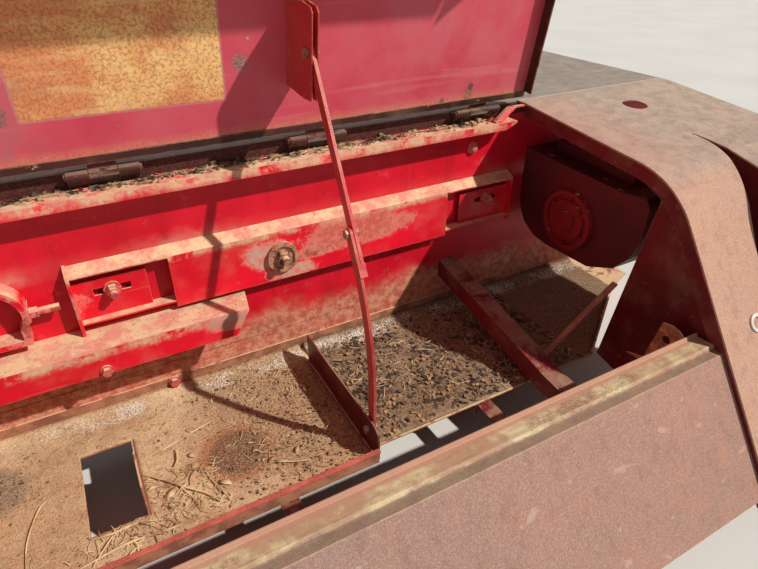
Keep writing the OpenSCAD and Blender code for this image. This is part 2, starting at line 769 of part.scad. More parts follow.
// Lower bar drawn from the knee along the upper bar's line
bend_steps = 10;
function bend_pt(a, d) = [bar_straight + (bend_r + d) * sin(a), bend_r - (bend_r + d) * cos(a)];
function round_end(c, a) = [for (i = [0:12]) toward(c, a + 15 * i, bar_w / 2)];
module bent_bar() {
    half = bar_w / 2;
    angles = [for (i = [0:bend_steps]) bar_bend * i / bend_steps];
    far_end = bend_pt(bar_bend, 0) + [cos(bar_bend), sin(bar_bend)] * last_run;
    polygon(concat(
        round_end([0, 0], 90),
        [for (a = angles) bend_pt(a, half)],
        round_end(far_end, bar_bend - 90),
        backward([for (a = angles) bend_pt(a, -half)])
    ));
}
module stay_lower() {
    color(red) box_frame() along_x(stay_x, stay_x + bar_t) difference() {
        translate(knee) rotate(bar_dir) bent_bar();
        translate(knee) circle(r = stay_bolt_r + run_clear);
        translate(foot) circle(r = stay_bolt_r);
    }
}
module foot_bolt() {
    color(steel) box_frame() {
        rod_x(stay_x, stay_x + bar_t + 1, foot, stay_bolt_r);
        hex_x(stay_x + bar_t, stay_x + bar_t + 5, foot, 7.5);
    }
}

case_wall();
top_ledge();
ledge_strap();
slide_channel();
recess_left();
recess_right();
slide_bolts();
bearing_boss();
lower_rail();
rail_bolt();
stop_strap();
stop_rod();
rail_wedge();
tray();
tray_bolt();
divider();
divider_nut();
tray_hangers();
cross_beam();
front_panel();
panel_braces();
left_end_plate();
hood_skin();
hood_rim();
outer_cover();
cover_side();
hood_end_rim();
deck_plate();
side_gusset();
corner_strap();
corner_bracket();
latch_ring();
gearbox_case();
gearbox_cover();
gearbox_cap();
gearbox_shaft();
hinge_leaves();
hinge_pins();
lid_panel();
lid_edges();
lid_hinge_leaves();
lid_bracket();
lid_pin();
stay_upper();
knee_bolt();
stay_lower();
foot_bolt();
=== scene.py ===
# %% [markdown]
# # The twine box of a square baler
# The sheet-metal parts, the hinges and the folding stay come from the packed
# CAD model and keep their shapes. This lesson gives them their weathered
# finishes and adds what only a used machine has: soil and straw in the tray,
# chaff on the ledge, weld beads, dust and rust.

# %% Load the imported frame
import math

import bpy
import numpy as np
from mathutils import Matrix, Vector, noise


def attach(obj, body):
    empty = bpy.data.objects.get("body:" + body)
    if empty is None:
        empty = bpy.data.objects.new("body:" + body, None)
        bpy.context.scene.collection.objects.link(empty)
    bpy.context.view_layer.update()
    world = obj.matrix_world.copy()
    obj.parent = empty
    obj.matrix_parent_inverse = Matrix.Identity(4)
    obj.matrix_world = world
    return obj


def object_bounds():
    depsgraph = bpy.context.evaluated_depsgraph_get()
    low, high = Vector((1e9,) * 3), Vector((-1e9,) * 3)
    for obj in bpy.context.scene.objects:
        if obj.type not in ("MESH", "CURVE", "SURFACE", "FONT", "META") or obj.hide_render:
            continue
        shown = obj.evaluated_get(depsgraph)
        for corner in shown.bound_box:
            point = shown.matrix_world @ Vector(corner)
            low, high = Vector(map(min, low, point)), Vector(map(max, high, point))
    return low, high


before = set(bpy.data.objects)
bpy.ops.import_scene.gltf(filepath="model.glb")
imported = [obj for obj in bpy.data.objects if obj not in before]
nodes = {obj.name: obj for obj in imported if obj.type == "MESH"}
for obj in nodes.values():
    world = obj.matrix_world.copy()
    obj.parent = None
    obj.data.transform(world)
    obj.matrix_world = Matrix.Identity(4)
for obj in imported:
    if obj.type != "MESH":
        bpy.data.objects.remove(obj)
cad_low, cad_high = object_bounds()
print("CAD box", [round(v, 4) for v in (*cad_low, *cad_high)])

# %% [markdown]
# ## Drawing measures
# The box was drawn in millimetres from its left end plate, the wall's front
# face and the front panel's lower edge. One helper turns such a measure into
# the frame's metres, so that every added piece is placed with the numbers of
# the drawing.

# %% Millimetres of the drawing into metres of the frame
MM = 0.001
ORIGIN = Vector((630, 5, 270))
BOX_LENGTH = 1260


def at(x, y, z):
    """A point of the drawing, in the frame."""
    return (Vector((x, y, z)) - ORIGIN) * MM


print("box length in the frame", round(BOX_LENGTH * MM, 3), "m")

# %% [markdown]
# ## The camera
# It looks down into the box from the front left, from where the open lid, the
# folding stay and the hood's rim are all seen. Its place and its turn are
# given by the eye point and the directions of the picture's right and up.

# %% Camera
scene = bpy.context.scene
camera = bpy.data.objects.new("camera", bpy.data.cameras.new("camera"))
scene.collection.objects.link(camera)
EYE = Vector((-0.2100, -0.9206, 0.5364))
PICTURE_RIGHT = Vector((0.8745, -0.4851, 0.0015))
PICTURE_UP = Vector((0.2553, 0.4640, 0.8481))
camera_turn = Matrix((PICTURE_RIGHT, PICTURE_UP, PICTURE_RIGHT.cross(PICTURE_UP))).transposed()
camera.matrix_world = Matrix.Translation(EYE) @ camera_turn.normalized().to_4x4()
camera.data.sensor_width = 36
camera.data.lens = 27.12
camera.data.clip_start = 0.05
scene.camera = camera
print("camera at", [round(v, 3) for v in camera.location])

# %% [markdown]
# ## The light
# One sun gives the slanting light that draws the stay's shadow on the wall,
# and a white world fills the shadows. Together they light a surface that
# faces the sun to about the colour that its finish is written in.

# %% Sun and world
scene.view_settings.view_transform = "Standard"
sun = bpy.data.objects.new("sun", bpy.data.lights.new("sun", "SUN"))
scene.collection.objects.link(sun)
SUN_RAY = Vector((-0.506, 0.538, -0.672))
sun.rotation_mode = "QUATERNION"
sun.rotation_quaternion = SUN_RAY.to_track_quat("-Z", "Y")
SUN_STRENGTH = 3.9
sun.data.energy = SUN_STRENGTH
sun.data.angle = math.radians(1.0)
sun.data.color = (1.0, 0.96, 0.90)
world = bpy.data.worlds.new("studio")
scene.world = world
world.use_nodes = True
parts = world.node_tree.nodes
FILL = 0.20
sky = parts["Background"]
sky.inputs["Color"].default_value = (0.92, 0.95, 1.0, 1)
sky.inputs["Strength"].default_value = FILL
plain = parts.new("ShaderNodeBackground")
plain.inputs["Color"].default_value = (0.86, 0.86, 0.85, 1)
rays = parts.new("ShaderNodeLightPath")
either = parts.new("ShaderNodeMath")
either.operation = "MAXIMUM"
choose = parts.new("ShaderNodeMixShader")
link = world.node_tree.links.new
link(rays.outputs["Is Camera Ray"], either.inputs[0])
link(rays.outputs["Is Glossy Ray"], either.inputs[1])
link(either.outputs[0], choose.inputs["Fac"])
link(sky.outputs[0], choose.inputs[1])
link(plain.outputs[0], choose.inputs[2])
link(choose.outputs[0], parts["World Output"].inputs["Surface"])
print("sun", SUN_STRENGTH, "fill", FILL)

# %% [markdown]
# ## Writing a finish
# A finish is maths on noise: where is the paint, where is the dust, where has
# it rusted. Python's own operators say that best, so one small class wraps a
# socket and adds a Math node for each operator.

# %% Sockets with operators
class Value:
    """A number that changes over the surface."""

    def __init__(self, finish, socket):
        self.finish = finish
        self.socket = socket

    def maths(self, operation, *values):
        sockets = dict(enumerate(values))
        return self.finish.node("ShaderNodeMath", {"operation": operation}, sockets)

    def __add__(self, other):
        return self.maths("ADD", self, other)

    def __radd__(self, other):
        return self.maths("ADD", other, self)

    def __sub__(self, other):
        return self.maths("SUBTRACT", self, other)

    def __rsub__(self, other):
        return self.maths("SUBTRACT", other, self)

    def __mul__(self, other):
        return self.maths("MULTIPLY", self, other)

    def __rmul__(self, other):
        return self.maths("MULTIPLY", other, self)

    def __or__(self, other):
        return self.maths("MAXIMUM", self, other)

    def __and__(self, other):
        return self.maths("MINIMUM", self, other)

    def step(self, low, high):
        """0 below low, 1 above high, and smooth between them. A low above high turns it round."""
        settings = {"interpolation_type": "SMOOTHSTEP"}
        sockets = {"Value": self, "From Min": low, "From Max": high}
        if low > high:
            sockets.update({"From Min": high, "From Max": low, "To Min": 1.0, "To Max": 0.0})
        return self.finish.node("ShaderNodeMapRange", settings, sockets, "Result")


def rgb(red, green, blue):
    """A colour from the screen's 0 to 255 into linear light."""
    parts = [c / 255 for c in (red, green, blue)]
    return tuple(p / 12.92 if p <= 0.04045 else ((p + 0.055) / 1.055) ** 2.4 for p in parts) + (1,)


print("bright red", [round(c, 3) for c in rgb(200, 20, 40)])

# %% [markdown]
# Every finish starts from the same Principled shader. Its noise is laid on the
# object's own coordinates, in metres, so a scale is a count of spots per metre
# and the pattern stays on a piece when it swings.

# %% The finish
class Finish:
    """A material whose colour, roughness and bump are written as expressions."""

    def __init__(self, name):
        self.name = name
        self.material = bpy.data.materials.new(name)
        self.material.use_nodes = True
        self.tree = self.material.node_tree
        self.shader = self.tree.nodes["Principled BSDF"]
        self.place = self.node("ShaderNodeTexCoord", out="Object")
        apart = {"Vector": self.place}
        self.x, self.y, self.z = [
            self.node("ShaderNodeSeparateXYZ", {}, apart, part) for part in "XYZ"
        ]
        normal = {"Vector": self.node("ShaderNodeTexCoord", out="Normal")}
        self.facing_y, self.facing_up = [
            self.node("ShaderNodeSeparateXYZ", {}, normal, part) for part in "YZ"
        ]

    def node(self, kind, settings=None, sockets=None, out=0):
        """Adds a node, sets its properties and sockets, and returns one of its outputs."""
        made = self.tree.nodes.new(kind)
        for name, value in (settings or {}).items():
            setattr(made, name, value)
        for name, value in (sockets or {}).items():
            if isinstance(value, Value):
                self.tree.links.new(value.socket, made.inputs[name])
            else:
                made.inputs[name].default_value = value
        return Value(self, made.outputs[out])

    def spots(self, scale, detail=3.0, rough=0.55, stretch=(1, 1, 1), seed=0.0):
        """Noise with so many spots to the metre."""
        sockets = {"Vector": self.place, "Scale": stretch, "Location": (seed, seed * 0.7, -seed)}
        moved = self.node("ShaderNodeMapping", {}, sockets)
        sockets = {"Vector": moved, "Scale": scale, "Detail": detail, "Roughness": rough}
        return self.node("ShaderNodeTexNoise", {}, sockets, "Fac")

    def cells(self, scale, seed=0.0):
        """Distance to the nearest of so many points to the metre."""
        sockets = {"Vector": self.place, "Location": (seed, -seed, seed * 0.3)}
        moved = self.node("ShaderNodeMapping", {}, sockets)
        sockets = {"Vector": moved, "Scale": scale}
        return self.node("ShaderNodeTexVoronoi", {}, sockets, "Distance")

    def mix(self, amount, under, over):
        """The colour over laid on the colour under by amount."""
        sockets = {0: amount, 6: under, 7: over}
        return self.node("ShaderNodeMix", {"data_type": "RGBA"}, sockets, 2)

    def worn_edge(self, width):
        """1 on the edges of the metal and 0 on its faces."""
        rounded = self.node("ShaderNodeBevel", {"samples": 4}, {"Radius": width})
        flat = self.node("ShaderNodeNewGeometry", out="Normal")
        settings = {"operation": "DOT_PRODUCT"}
        along = self.node("ShaderNodeVectorMath", settings, {0: rounded, 1: flat}, "Value")
        return along.step(0.985, 0.90)

    def bump(self, height, depth):
        """A Bump node for a height from 0 to 1 that is so many metres deep."""
        sockets = {"Height": height, "Distance": depth, "Strength": 1.0}
        return self.node("ShaderNodeBump", {}, sockets)

    def wear(self, **sockets):
        """Links the finished expressions to the shader's sockets and files the finish by its name."""
        for name, value in sockets.items():
            socket = self.shader.inputs[name.replace("_", " ")]
            if isinstance(value, Value):
                self.tree.links.new(value.socket, socket)
            else:
                socket.default_value = value
        finishes[self.name] = self.material
        return self.material


finishes = {}

# %% [markdown]
# ## Red paint
# Sprayed enamel on sheet steel. In the sun it goes from crimson to a chalky
# pink, dust lies on whatever faces up, and it chips and rusts along its edges.
# The dust lies over every other change, so it has a function of its own that
# comes last, after the paint's colours.

# %% Colours and dust
CRIMSON = rgb(246, 20, 50)
DEEP_RED = rgb(214, 12, 36)
CHALK = rgb(238, 128, 122)
DUST = rgb(228, 200, 158)
PINK_DUST = rgb(222, 150, 132)
RUST = rgb(140, 84, 58)
GREY_PRIMER = rgb(168, 154, 130)
PALE_DUST = (0.0, 0.95)


def dust_cover(f, colour, dust, grain, tint):
    """Dust and crumbs on whatever faces up. tint says how far the dust is darkened as a painted shade, and
    how much it hides.
    Returns the new colour and the share that is covered."""
    lying = f.facing_up.step(0.35, 0.75)
    least = 0.58 - dust * 0.34
    drift = (f.spots(17, 6, 0.68, seed=9.0) + (grain - 0.5) * 0.12).step(least, least + 0.12)
    covered = lying * drift
    blush = f.spots(26, 5, 0.7, seed=4.4).step(0.40, 0.60)
    dirt = f.mix(blush, PINK_DUST, DUST)
    dirt = f.mix(f.spots(150, 4, 0.7, seed=4.9).step(0.54, 0.66) * 0.5, dirt, rgb(176, 128, 92))
    crumbs = f.cells(95, 1.3).step(0.20, 0.10) * f.spots(12, 3, 0.6, seed=5.5).step(0.50, 0.62)
    dirt = f.mix(crumbs * 0.8, dirt, rgb(70, 46, 36))
    # Painted shade: tint[0] darkens the dust of the parts that lie in shadow.
    dirt = f.mix(tint[0], dirt, rgb(96, 66, 54))
    return f.mix(covered * tint[1], colour, dirt), covered


print("chalky red", [round(c, 3) for c in CHALK])

# %% [markdown]
# One function writes the red paints of the box, and its arguments say how far
# each change has gone. Edges wear first, so a Bevel node finds them.

# %% Worn enamel
def squares(u, v):
    """The squared distance of a place that lies u and v away."""
    return u * u + v * v


def painted(name, paint=CRIMSON, deep=DEEP_RED, chalk=0.3, dust=0.9, rust=0.3, skirts=(),
            tint=PALE_DUST, bare=()):
    """Worn enamel. chalk, dust and rust are shares from 0 to 1. skirts are heights from which
    dust has run down a face, with how far it ran. bare lists patches down to the primer."""
    f = Finish(name)
    patches = f.spots(5, 4, 0.6)
    cloud = f.spots(22, 5, 0.65, seed=1.7)
    grain = f.spots(420, 2, 0.5, seed=0.4)
    colour = f.mix(patches.step(0.35, 0.70), deep, paint)
    faded = (cloud * 0.6 + patches * 0.4 + grain * 0.12).step(0.78 - chalk * 0.25, 0.90 - chalk * 0.25)
    colour = f.mix(faded * 0.5, colour, CHALK)
    scratches = f.spots(60, 2, 0.5, stretch=(0.06, 1, 1.4), seed=3.1).step(0.66, 0.72)
    colour = f.mix(scratches * 0.2, colour, CHALK)
    ragged = f.spots(24, 5, 0.7, seed=6.1) * 0.7 + f.spots(190, 3, 0.6, seed=6.4) * 0.3
    run = f.x * 0
    for top, reach in skirts:
        level = f.z + (ragged - 0.5) * reach * 1.5
        run = run | (level.step(top - reach, top - reach * 0.25) * f.z.step(top + 0.006, top + 0.004))
    run = run * f.spots(20, 4, 0.65, seed=6.2).step(0.38, 0.52)
    colour = f.mix(run * 0.8, colour, f.mix(ragged.step(0.42, 0.58), PINK_DUST, DUST))
    least = 0.74 - rust * 0.13
    chips = (f.spots(30, 6, 0.7, seed=5.2) + (grain - 0.5) * 0.1).step(least, least + 0.02)
    primer = f.mix(f.spots(90, 3, 0.6, seed=2.2).step(0.40, 0.60), RUST, GREY_PRIMER)
    colour = f.mix(chips * 0.85, colour, primer)
    for x, z, wide, high, tone in bare:
        near = squares((f.x - x) * (1 / wide), (f.z - z) * (1 / high))
        near = near + (ragged - 0.5) * 5.0
        broken = f.spots(70, 5, 0.75, seed=6.9).step(0.40, 0.54)
        halo = f.mix(near.step(1.0, 0.4) * broken, rgb(232, 140, 126), rgb(*tone))
        colour = f.mix(near.step(1.6, 0.8) * 0.8, colour, halo)
    edge = f.worn_edge(0.0022) * f.spots(40, 4, 0.65, seed=7.0).step(0.40, 0.52)
    colour = f.mix(edge * 0.75, colour, f.mix(ragged.step(0.45, 0.55), rgb(176, 112, 88), PINK_DUST))
    colour, covered = dust_cover(f, colour, dust, grain, tint)
    film = f.spots(13, 4, 0.6, seed=6.6).step(0.45, 0.75) * 0.12
    colour = f.mix(film, colour, DUST)
    caked = covered * f.spots(110, 5, 0.72, seed=8.1) * 1.8
    height = grain * 0.25 + cloud * 0.3 - chips * 0.5 + run * ragged + caked
    f.wear(
        Base_Color=colour,
        Roughness=(0.40 + faded * 0.2 + chips * 0.25 + (covered | run) * 0.4) & 0.95,
        Normal=f.bump(height, 0.0008),
        Specular_IOR_Level=0.35,
    )

# %% [markdown]
# Dust has run down from the edges of the ledge, the channel and the rail, and
# twine has rubbed patches bare. Such marks are lists of places, not noise.

# %% The red paints
# The heights of the edges that dust has run down from
LEDGE_EDGE, CHANNEL_EDGE, RAIL_EDGE = 0.205, 0.074, -0.035
RUN_DOWN = [(LEDGE_EDGE, 0.005), (CHANNEL_EDGE, 0.014), (RAIL_EDGE, 0.020)]
# The x and z of each bare patch's middle, its half width and half height, and its colour
BARE = [
    (0.050, 0.034, 0.042, 0.026, (200, 184, 164)), (0.142, 0.016, 0.040, 0.012, (140, 92, 66)),
    (0.098, -0.012, 0.050, 0.014, (214, 184, 160)), (0.240, 0.040, 0.110, 0.030, (206, 110, 92)),
    (-0.322, 0.014, 0.060, 0.034, (150, 78, 62)), (-0.420, 0.030, 0.050, 0.050, (196, 130, 104)),
    (-0.040, -0.052, 0.040, 0.016, (196, 164, 142)),
]
painted("rail_paint", chalk=0.45, dust=0.95, rust=0.3, skirts=RUN_DOWN, bare=BARE)
painted("ledge_paint", chalk=1.0, dust=0.6, rust=0.6, skirts=[(LEDGE_EDGE, 0.020)])
painted("stay_paint", paint=rgb(204, 62, 64), deep=rgb(176, 46, 52), chalk=0.35, dust=0.3, rust=0.15)
# A darker copy of the red: painted shade for the parts that lie in shadow, whose dust its tint darkens as
# well.
painted("shaded_paint", paint=rgb(122, 24, 32), deep=rgb(92, 22, 28), chalk=0.1, dust=0.5, rust=0.3,
        tint=(0.6, 0.7))
# Dark rust-brown, partly painted shade for the dark gap where the hinges and the lid's edges sit; its tint
# darkens their dust as well.
painted("hinge_rust_and_painted_shade", paint=rgb(84, 40, 34), deep=rgb(56, 32, 28), chalk=0.05, dust=0.5, rust=0.7,
        tint=(0.75, 0.7))
print("paints", sorted(finishes))

# %% [markdown]
# ## The bale-case wall
# The wall is the same enamel, but its lower part has been rubbed by twine and
# damp soil: it turns from red to rust. Above the slide channel dust has
# splashed up in a pink haze. The strip behind the hinges is painted near-black,
# a painted shade for the dark gap under the lid.

# %% Wall paint
def wall_paint():
    f = Finish("wall_paint")
    patches = f.spots(6, 4, 0.6)
    grain = f.spots(420, 2, 0.5, seed=0.4)
    cloud = f.spots(26, 5, 0.68, seed=1.1)
    flecks = f.spots(240, 4, 0.75, seed=5.0)
    colour = f.mix(patches.step(0.30, 0.70), rgb(196, 12, 34), rgb(228, 22, 48))
    faded = (cloud * 0.7 + patches * 0.3).step(0.56, 0.70)
    colour = f.mix(faded * 0.3, colour, CHALK)
    runs = f.spots(30, 3, 0.6, stretch=(1, 1, 0.12), seed=2.0).step(0.52, 0.70)
    colour = f.mix(runs * 0.35, colour, rgb(140, 22, 32))
    drift = f.spots(5, 3, 0.5, seed=8.0).step(0.44, 0.60)
    splash = (f.z + (cloud - 0.5) * 0.07).step(0.112, 0.078) * f.z.step(0.060, 0.078)
    splash = splash * (drift * 0.6 + 0.15)
    colour = f.mix(splash, colour, f.mix(cloud.step(0.40, 0.60), rgb(226, 104, 96), rgb(206, 168, 148)))
    level = f.z + (f.spots(9, 5, 0.65, seed=3.0) - 0.5) * 0.12
    low = level.step(-0.085, -0.150)
    rusty = f.mix(f.spots(70, 5, 0.7, seed=4.0).step(0.38, 0.62), rgb(178, 106, 80), rgb(216, 160, 128))
    colour = f.mix(low * 0.92, colour, rusty)
    red_left = (flecks + (cloud - 0.5) * 0.6).step(0.52, 0.58) * low
    colour = f.mix(red_left * 0.5, colour, rgb(214, 60, 62))
    chips = (f.spots(14, 6, 0.72, seed=7.0) + (grain - 0.5) * 0.08).step(0.64, 0.68)
    bare = f.mix(flecks.step(0.45, 0.6), rgb(112, 48, 40), rgb(196, 150, 126))
    colour = f.mix(chips * 0.7, colour, bare)
    # Painted shade: the strip above the ledge is darkened to near-black, standing in for the shadowed gap
    # under the lid.
    painted_gap_shade = (f.z + (cloud - 0.5) * 0.006).step(0.2055, 0.2085)
    gap_shade_colour = f.mix(flecks.step(0.45, 0.60), rgb(46, 28, 24), rgb(84, 52, 40))
    colour = f.mix(painted_gap_shade * 0.95, colour, gap_shade_colour)
    f.wear(
        Base_Color=colour,
        Roughness=(0.40 + (low | painted_gap_shade) * 0.45 + chips * 0.3 + (faded | splash) * 0.2) & 0.95,
        Normal=f.bump(grain * 0.3 + flecks * (low | painted_gap_shade) - chips * 0.5 + cloud * 0.3, 0.0006),
        Specular_IOR_Level=0.35,
    )


wall_paint()
print("nodes in the wall paint", len(finishes["wall_paint"].node_tree.nodes))

# %% [markdown]
# ## The lid's inner face
# Kept from the weather while the lid is shut, it is still a pinkish red, and
# mauve where rain got in at the left. A rectangle where a sheet was stuck on
# has gone tan, with the steel showing through in fine dark freckles. Rust
# creeps up from the lower edge, in a band lightened as a painted highlight of the bent hem.

# %% Lid paint
# The x and height of each scar's middle, its radius and its colour
SCARS = [
    (0.041, 0.367, 0.013, (176, 140, 128)),
    (0.480, 0.268, 0.013, (196, 128, 88)),
    (0.482, 0.282, 0.008, (92, 60, 48)),
    (0.056, 0.400, 0.003, (220, 190, 180)),
    (0.300, 0.440, 0.003, (214, 180, 172)),
    (0.420, 0.262, 0.006, (150, 96, 70)),
    (-0.290, 0.330, 0.020, (166, 112, 112)),
    (-0.330, 0.400, 0.028, (170, 110, 112)),
]


def lid_paint():
    f = Finish("lid_paint")
    cloud = f.spots(7, 5, 0.62)
    grain = f.spots(420, 2, 0.5, seed=0.4)
    blotch = f.spots(34, 5, 0.66, seed=1.0)
    colour = f.mix(cloud.step(0.30, 0.72), rgb(204, 62, 84), rgb(222, 84, 102))
    haze = (blotch * 0.3 + cloud * 0.7).step(0.38, 0.68)
    left = f.x.step(-0.18, -0.34)
    right = f.x.step(0.10, 0.45)
    colour = f.mix((haze * 0.28) | (left * (blotch.step(0.30, 0.56) * 0.75)), colour, rgb(174, 108, 112))
    colour = f.mix(right * haze * 0.2, colour, rgb(206, 130, 136))
    streaks = f.spots(26, 3, 0.55, stretch=(0.10, 1, 1.6), seed=2.0).step(0.58, 0.68)
    colour = f.mix(streaks * 0.2, colour, rgb(240, 160, 156))
    pits = f.cells(38, 0.7).step(0.11, 0.05) * f.spots(6, 3, 0.5, seed=3.0).step(0.52, 0.58)
    colour = f.mix(pits * 0.8, colour, rgb(150, 110, 104))
    # A rust-tan band along the lower edge, partly a painted highlight where the hem bends toward the light.
    near = (f.z + (blotch - 0.5) * 0.02).step(0.278, 0.254)
    colour = f.mix(near * 0.8, colour, f.mix(grain.step(0.4, 0.6), rgb(214, 110, 96), rgb(214, 150, 112)))
    for x, z, size, tone in SCARS:
        uneven = (f.spots(70, 4, 0.7, seed=9.0) - 0.5) * size * size * 1.6
        gap = squares(f.x - x, f.z - z) + uneven
        scar = gap.step(size * size, size * size * 0.6)
        colour = f.mix(scar * 0.85, colour, f.mix(grain.step(0.35, 0.65), rgb(*tone), rgb(110, 84, 74)))
    ragged = (f.spots(130, 3, 0.6, seed=4.0) - 0.5) * 0.004
    x, z = f.x + ragged, f.z + ragged + f.x * 0.008
    inside = x.step(-0.2605, -0.2585) * x.step(0.0145, 0.0125)
    inside = inside * z.step(0.3155, 0.3175) * z.step(0.5180, 0.5160)
    outline = x.step(-0.2635, -0.2605) * x.step(0.0180, 0.0145)
    outline = outline * z.step(0.3120, 0.3155) * z.step(0.5210, 0.5180)
    colour = f.mix((outline - inside) * 0.6, colour, rgb(196, 150, 140))
    shade = f.spots(10, 5, 0.66, seed=5.0)
    tan = f.mix((shade + f.x * 0.7).step(0.34, 0.60), rgb(226, 146, 98), rgb(250, 206, 134))
    speck = f.spots(240, 4, 0.7, seed=6.0)
    tan = f.mix(speck.step(0.46, 0.60) * 0.7, tan, rgb(188, 110, 66))
    freckle = f.spots(420, 3, 0.7, seed=6.6).step(0.56, 0.70)
    tan = f.mix(freckle * 0.6, tan, rgb(112, 66, 44))
    rows = f.spots(60, 3, 0.6, stretch=(0.15, 1, 1.0), seed=6.8).step(0.50, 0.66)
    tan = f.mix(rows * 0.25, tan, rgb(250, 222, 160))
    stain = f.spots(15, 5, 0.7, seed=7.0).step(0.58, 0.70)
    tan = f.mix(stain * 0.45, tan, rgb(168, 128, 104))
    patch = inside * f.facing_y.step(-0.3, -0.6)
    colour = f.mix(patch, colour, tan)
    f.wear(
        Base_Color=colour,
        Roughness=(0.42 + haze * 0.12 + (patch | near) * 0.35 + pits * 0.2) & 0.9,
        Normal=f.bump(grain * 0.25 + blotch * 0.35 + patch * speck * 0.8 - pits * 0.4, 0.0005),
        Specular_IOR_Level=0.4,
    )


lid_paint()
print("nodes in the lid paint", len(finishes["lid_paint"].node_tree.nodes))

# %% [markdown]
# ## Sun-bleached outer sheets
# The hood and the front panel have stood in the sun for decades. Their paint
# has thinned to a mauve brown over even, fine rust, and the top faces have
# gone nearly grey.

# %% Weathered outer paint
def weathered(name, base, warm, top_light, top_dark, marks=None):
    """Thin paint over even rust. marks(f, colour) adds what only one sheet has."""
    f = Finish(name)
    cloud = f.spots(4.5, 4, 0.6)
    blotch = f.spots(24, 5, 0.68, seed=1.3)
    grain = f.spots(340, 3, 0.7, seed=2.1)
    fine = f.spots(720, 2, 0.6, seed=3.3)
    brown = f.mix((cloud * 0.7 + blotch * 0.3).step(0.36, 0.62), rgb(*base), rgb(*warm))
    top = f.facing_up.step(0.80, 0.985)
    greyed = f.mix(blotch.step(0.35, 0.65), rgb(*top_dark), rgb(*top_light))
    colour = f.mix(top * 0.85, brown, greyed)
    colour = f.mix(grain.step(0.46, 0.62) * 0.30, colour, f.mix(0.5, brown, rgb(250, 216, 190)))
    colour = f.mix(fine.step(0.50, 0.64) * 0.50, colour, rgb(104, 68, 58))
    rubbed = f.spots(90, 4, 0.7, stretch=(0.5, 0.5, 0.16), seed=7.7).step(0.50, 0.66)
    colour = f.mix(rubbed * 0.22, colour, rgb(110, 66, 56))
    rusty = (blotch + (grain - 0.5) * 0.5).step(0.58, 0.72)
    colour = f.mix(rusty * 0.22, colour, rgb(196, 128, 92))
    scratches = f.spots(70, 2, 0.4, stretch=(0.4, 1, 0.05), seed=5.0).step(0.70, 0.74)
    colour = f.mix(scratches * 0.2, colour, rgb(224, 204, 188))
    if marks is not None:
        colour = marks(f, colour)
    # Undersides keep a red that the sun has not bleached, darkened as painted shade.
    underside_red_and_shade = f.facing_up.step(-0.1, -0.4)
    colour = f.mix(underside_red_and_shade * 0.9, colour, rgb(108, 20, 30))
    edge = f.worn_edge(0.002) * blotch.step(0.30, 0.50)
    colour = f.mix(edge * 0.4, colour, rgb(222, 196, 174))
    f.wear(
        Base_Color=colour,
        Roughness=(0.60 + grain * 0.18) & 0.9,
        Normal=f.bump(grain * 0.6 + fine * 0.5 + blotch * 0.4, 0.0005),
        Specular_IOR_Level=0.3,
    )

# %% [markdown]
# The hood and the panel share that paint, but each has marks at places of its
# own: what is left of the red, the pale seam, and the dust on the panel's fold.

# %% Marks of the hood and the panel
def hood_marks(f, colour):
    """Red still shows on the hood's top near the lid, and the seam of the deck is pale."""
    cloud = f.spots(14, 5, 0.66, seed=6.0)
    left = (f.x + (cloud - 0.5) * 0.20).step(0.80, 0.66) * f.facing_up.step(0.9, 0.99)
    colour = f.mix(left * 0.18, colour, rgb(206, 118, 104))
    seam = f.y.step(-0.006, -0.003)
    return f.mix(seam * 0.7, colour, rgb(206, 190, 172))


# Where the panel's folded top steps down and where it is flat, along y
PANEL_STEP = (-0.5560, -0.5405)
PANEL_FLAT = -0.5200


def panel_marks(f, colour):
    """The folded top of the panel: a painted shadow in the step, cream dust on the flat, pink by the lip."""
    high = f.z.step(-0.053, -0.050)
    ragged = (f.spots(40, 5, 0.7, seed=6.0) - 0.5) * 0.010
    y = f.y + ragged
    dust = f.mix(f.spots(16, 5, 0.7, seed=6.5).step(0.42, 0.62), rgb(214, 196, 154), rgb(182, 146, 116))
    streaky = f.spots(110, 4, 0.7, stretch=(0.2, 1, 1), seed=6.7).step(0.44, 0.64)
    dust = f.mix(streaky * 0.30, dust, rgb(132, 100, 80))
    cracks = f.spots(30, 6, 0.8, seed=8.8)
    cracks = cracks.step(0.485, 0.497) * cracks.step(0.515, 0.503)
    cracks = cracks * f.spots(5, 3, 0.5, seed=2.8).step(0.48, 0.56)
    dust = f.mix(cracks * 0.8, dust, rgb(50, 36, 30))
    colour = f.mix(high * y.step(PANEL_STEP[1] - 0.002, PANEL_STEP[1] + 0.001), colour, dust)
    colour = f.mix(high * y.step(PANEL_FLAT, PANEL_FLAT + 0.005) * 0.85, colour, rgb(188, 138, 116))
    # Painted shadow: a dark band in the step below the fold's riser, where shade falls.
    step = f.y.step(PANEL_STEP[0], PANEL_STEP[0] + 0.0015) * f.y.step(PANEL_STEP[1], PANEL_STEP[1] - 0.0015)
    colour = f.mix(high * step * 0.6, colour, rgb(92, 66, 56))
    warm = (f.x + f.spots(3, 4, 0.6, seed=9.0) * 0.6).step(0.45, 0.95)
    speckle = f.spots(150, 3, 0.7, seed=9.5).step(0.48, 0.62)
    return f.mix(warm * speckle * 0.35, colour, rgb(190, 124, 90))


weathered("hood_paint", (186, 146, 126), (196, 150, 126), (192, 174, 156), (166, 150, 136), hood_marks)
weathered("deck_paint", (150, 138, 128), (160, 146, 132), (160, 150, 140), (134, 126, 118))
weathered("panel_paint", (152, 120, 110), (164, 124, 110), (206, 186, 150), (186, 158, 128), panel_marks)
print("finishes so far", len(finishes))

# %% [markdown]
# ## Steel and casting
# The bolts are dull steel with a reddish bloom, and the gearbox is a rough
# casting with thick paint. Each is two mottled tones, so one function serves
# them all, and the plastic ring as well.

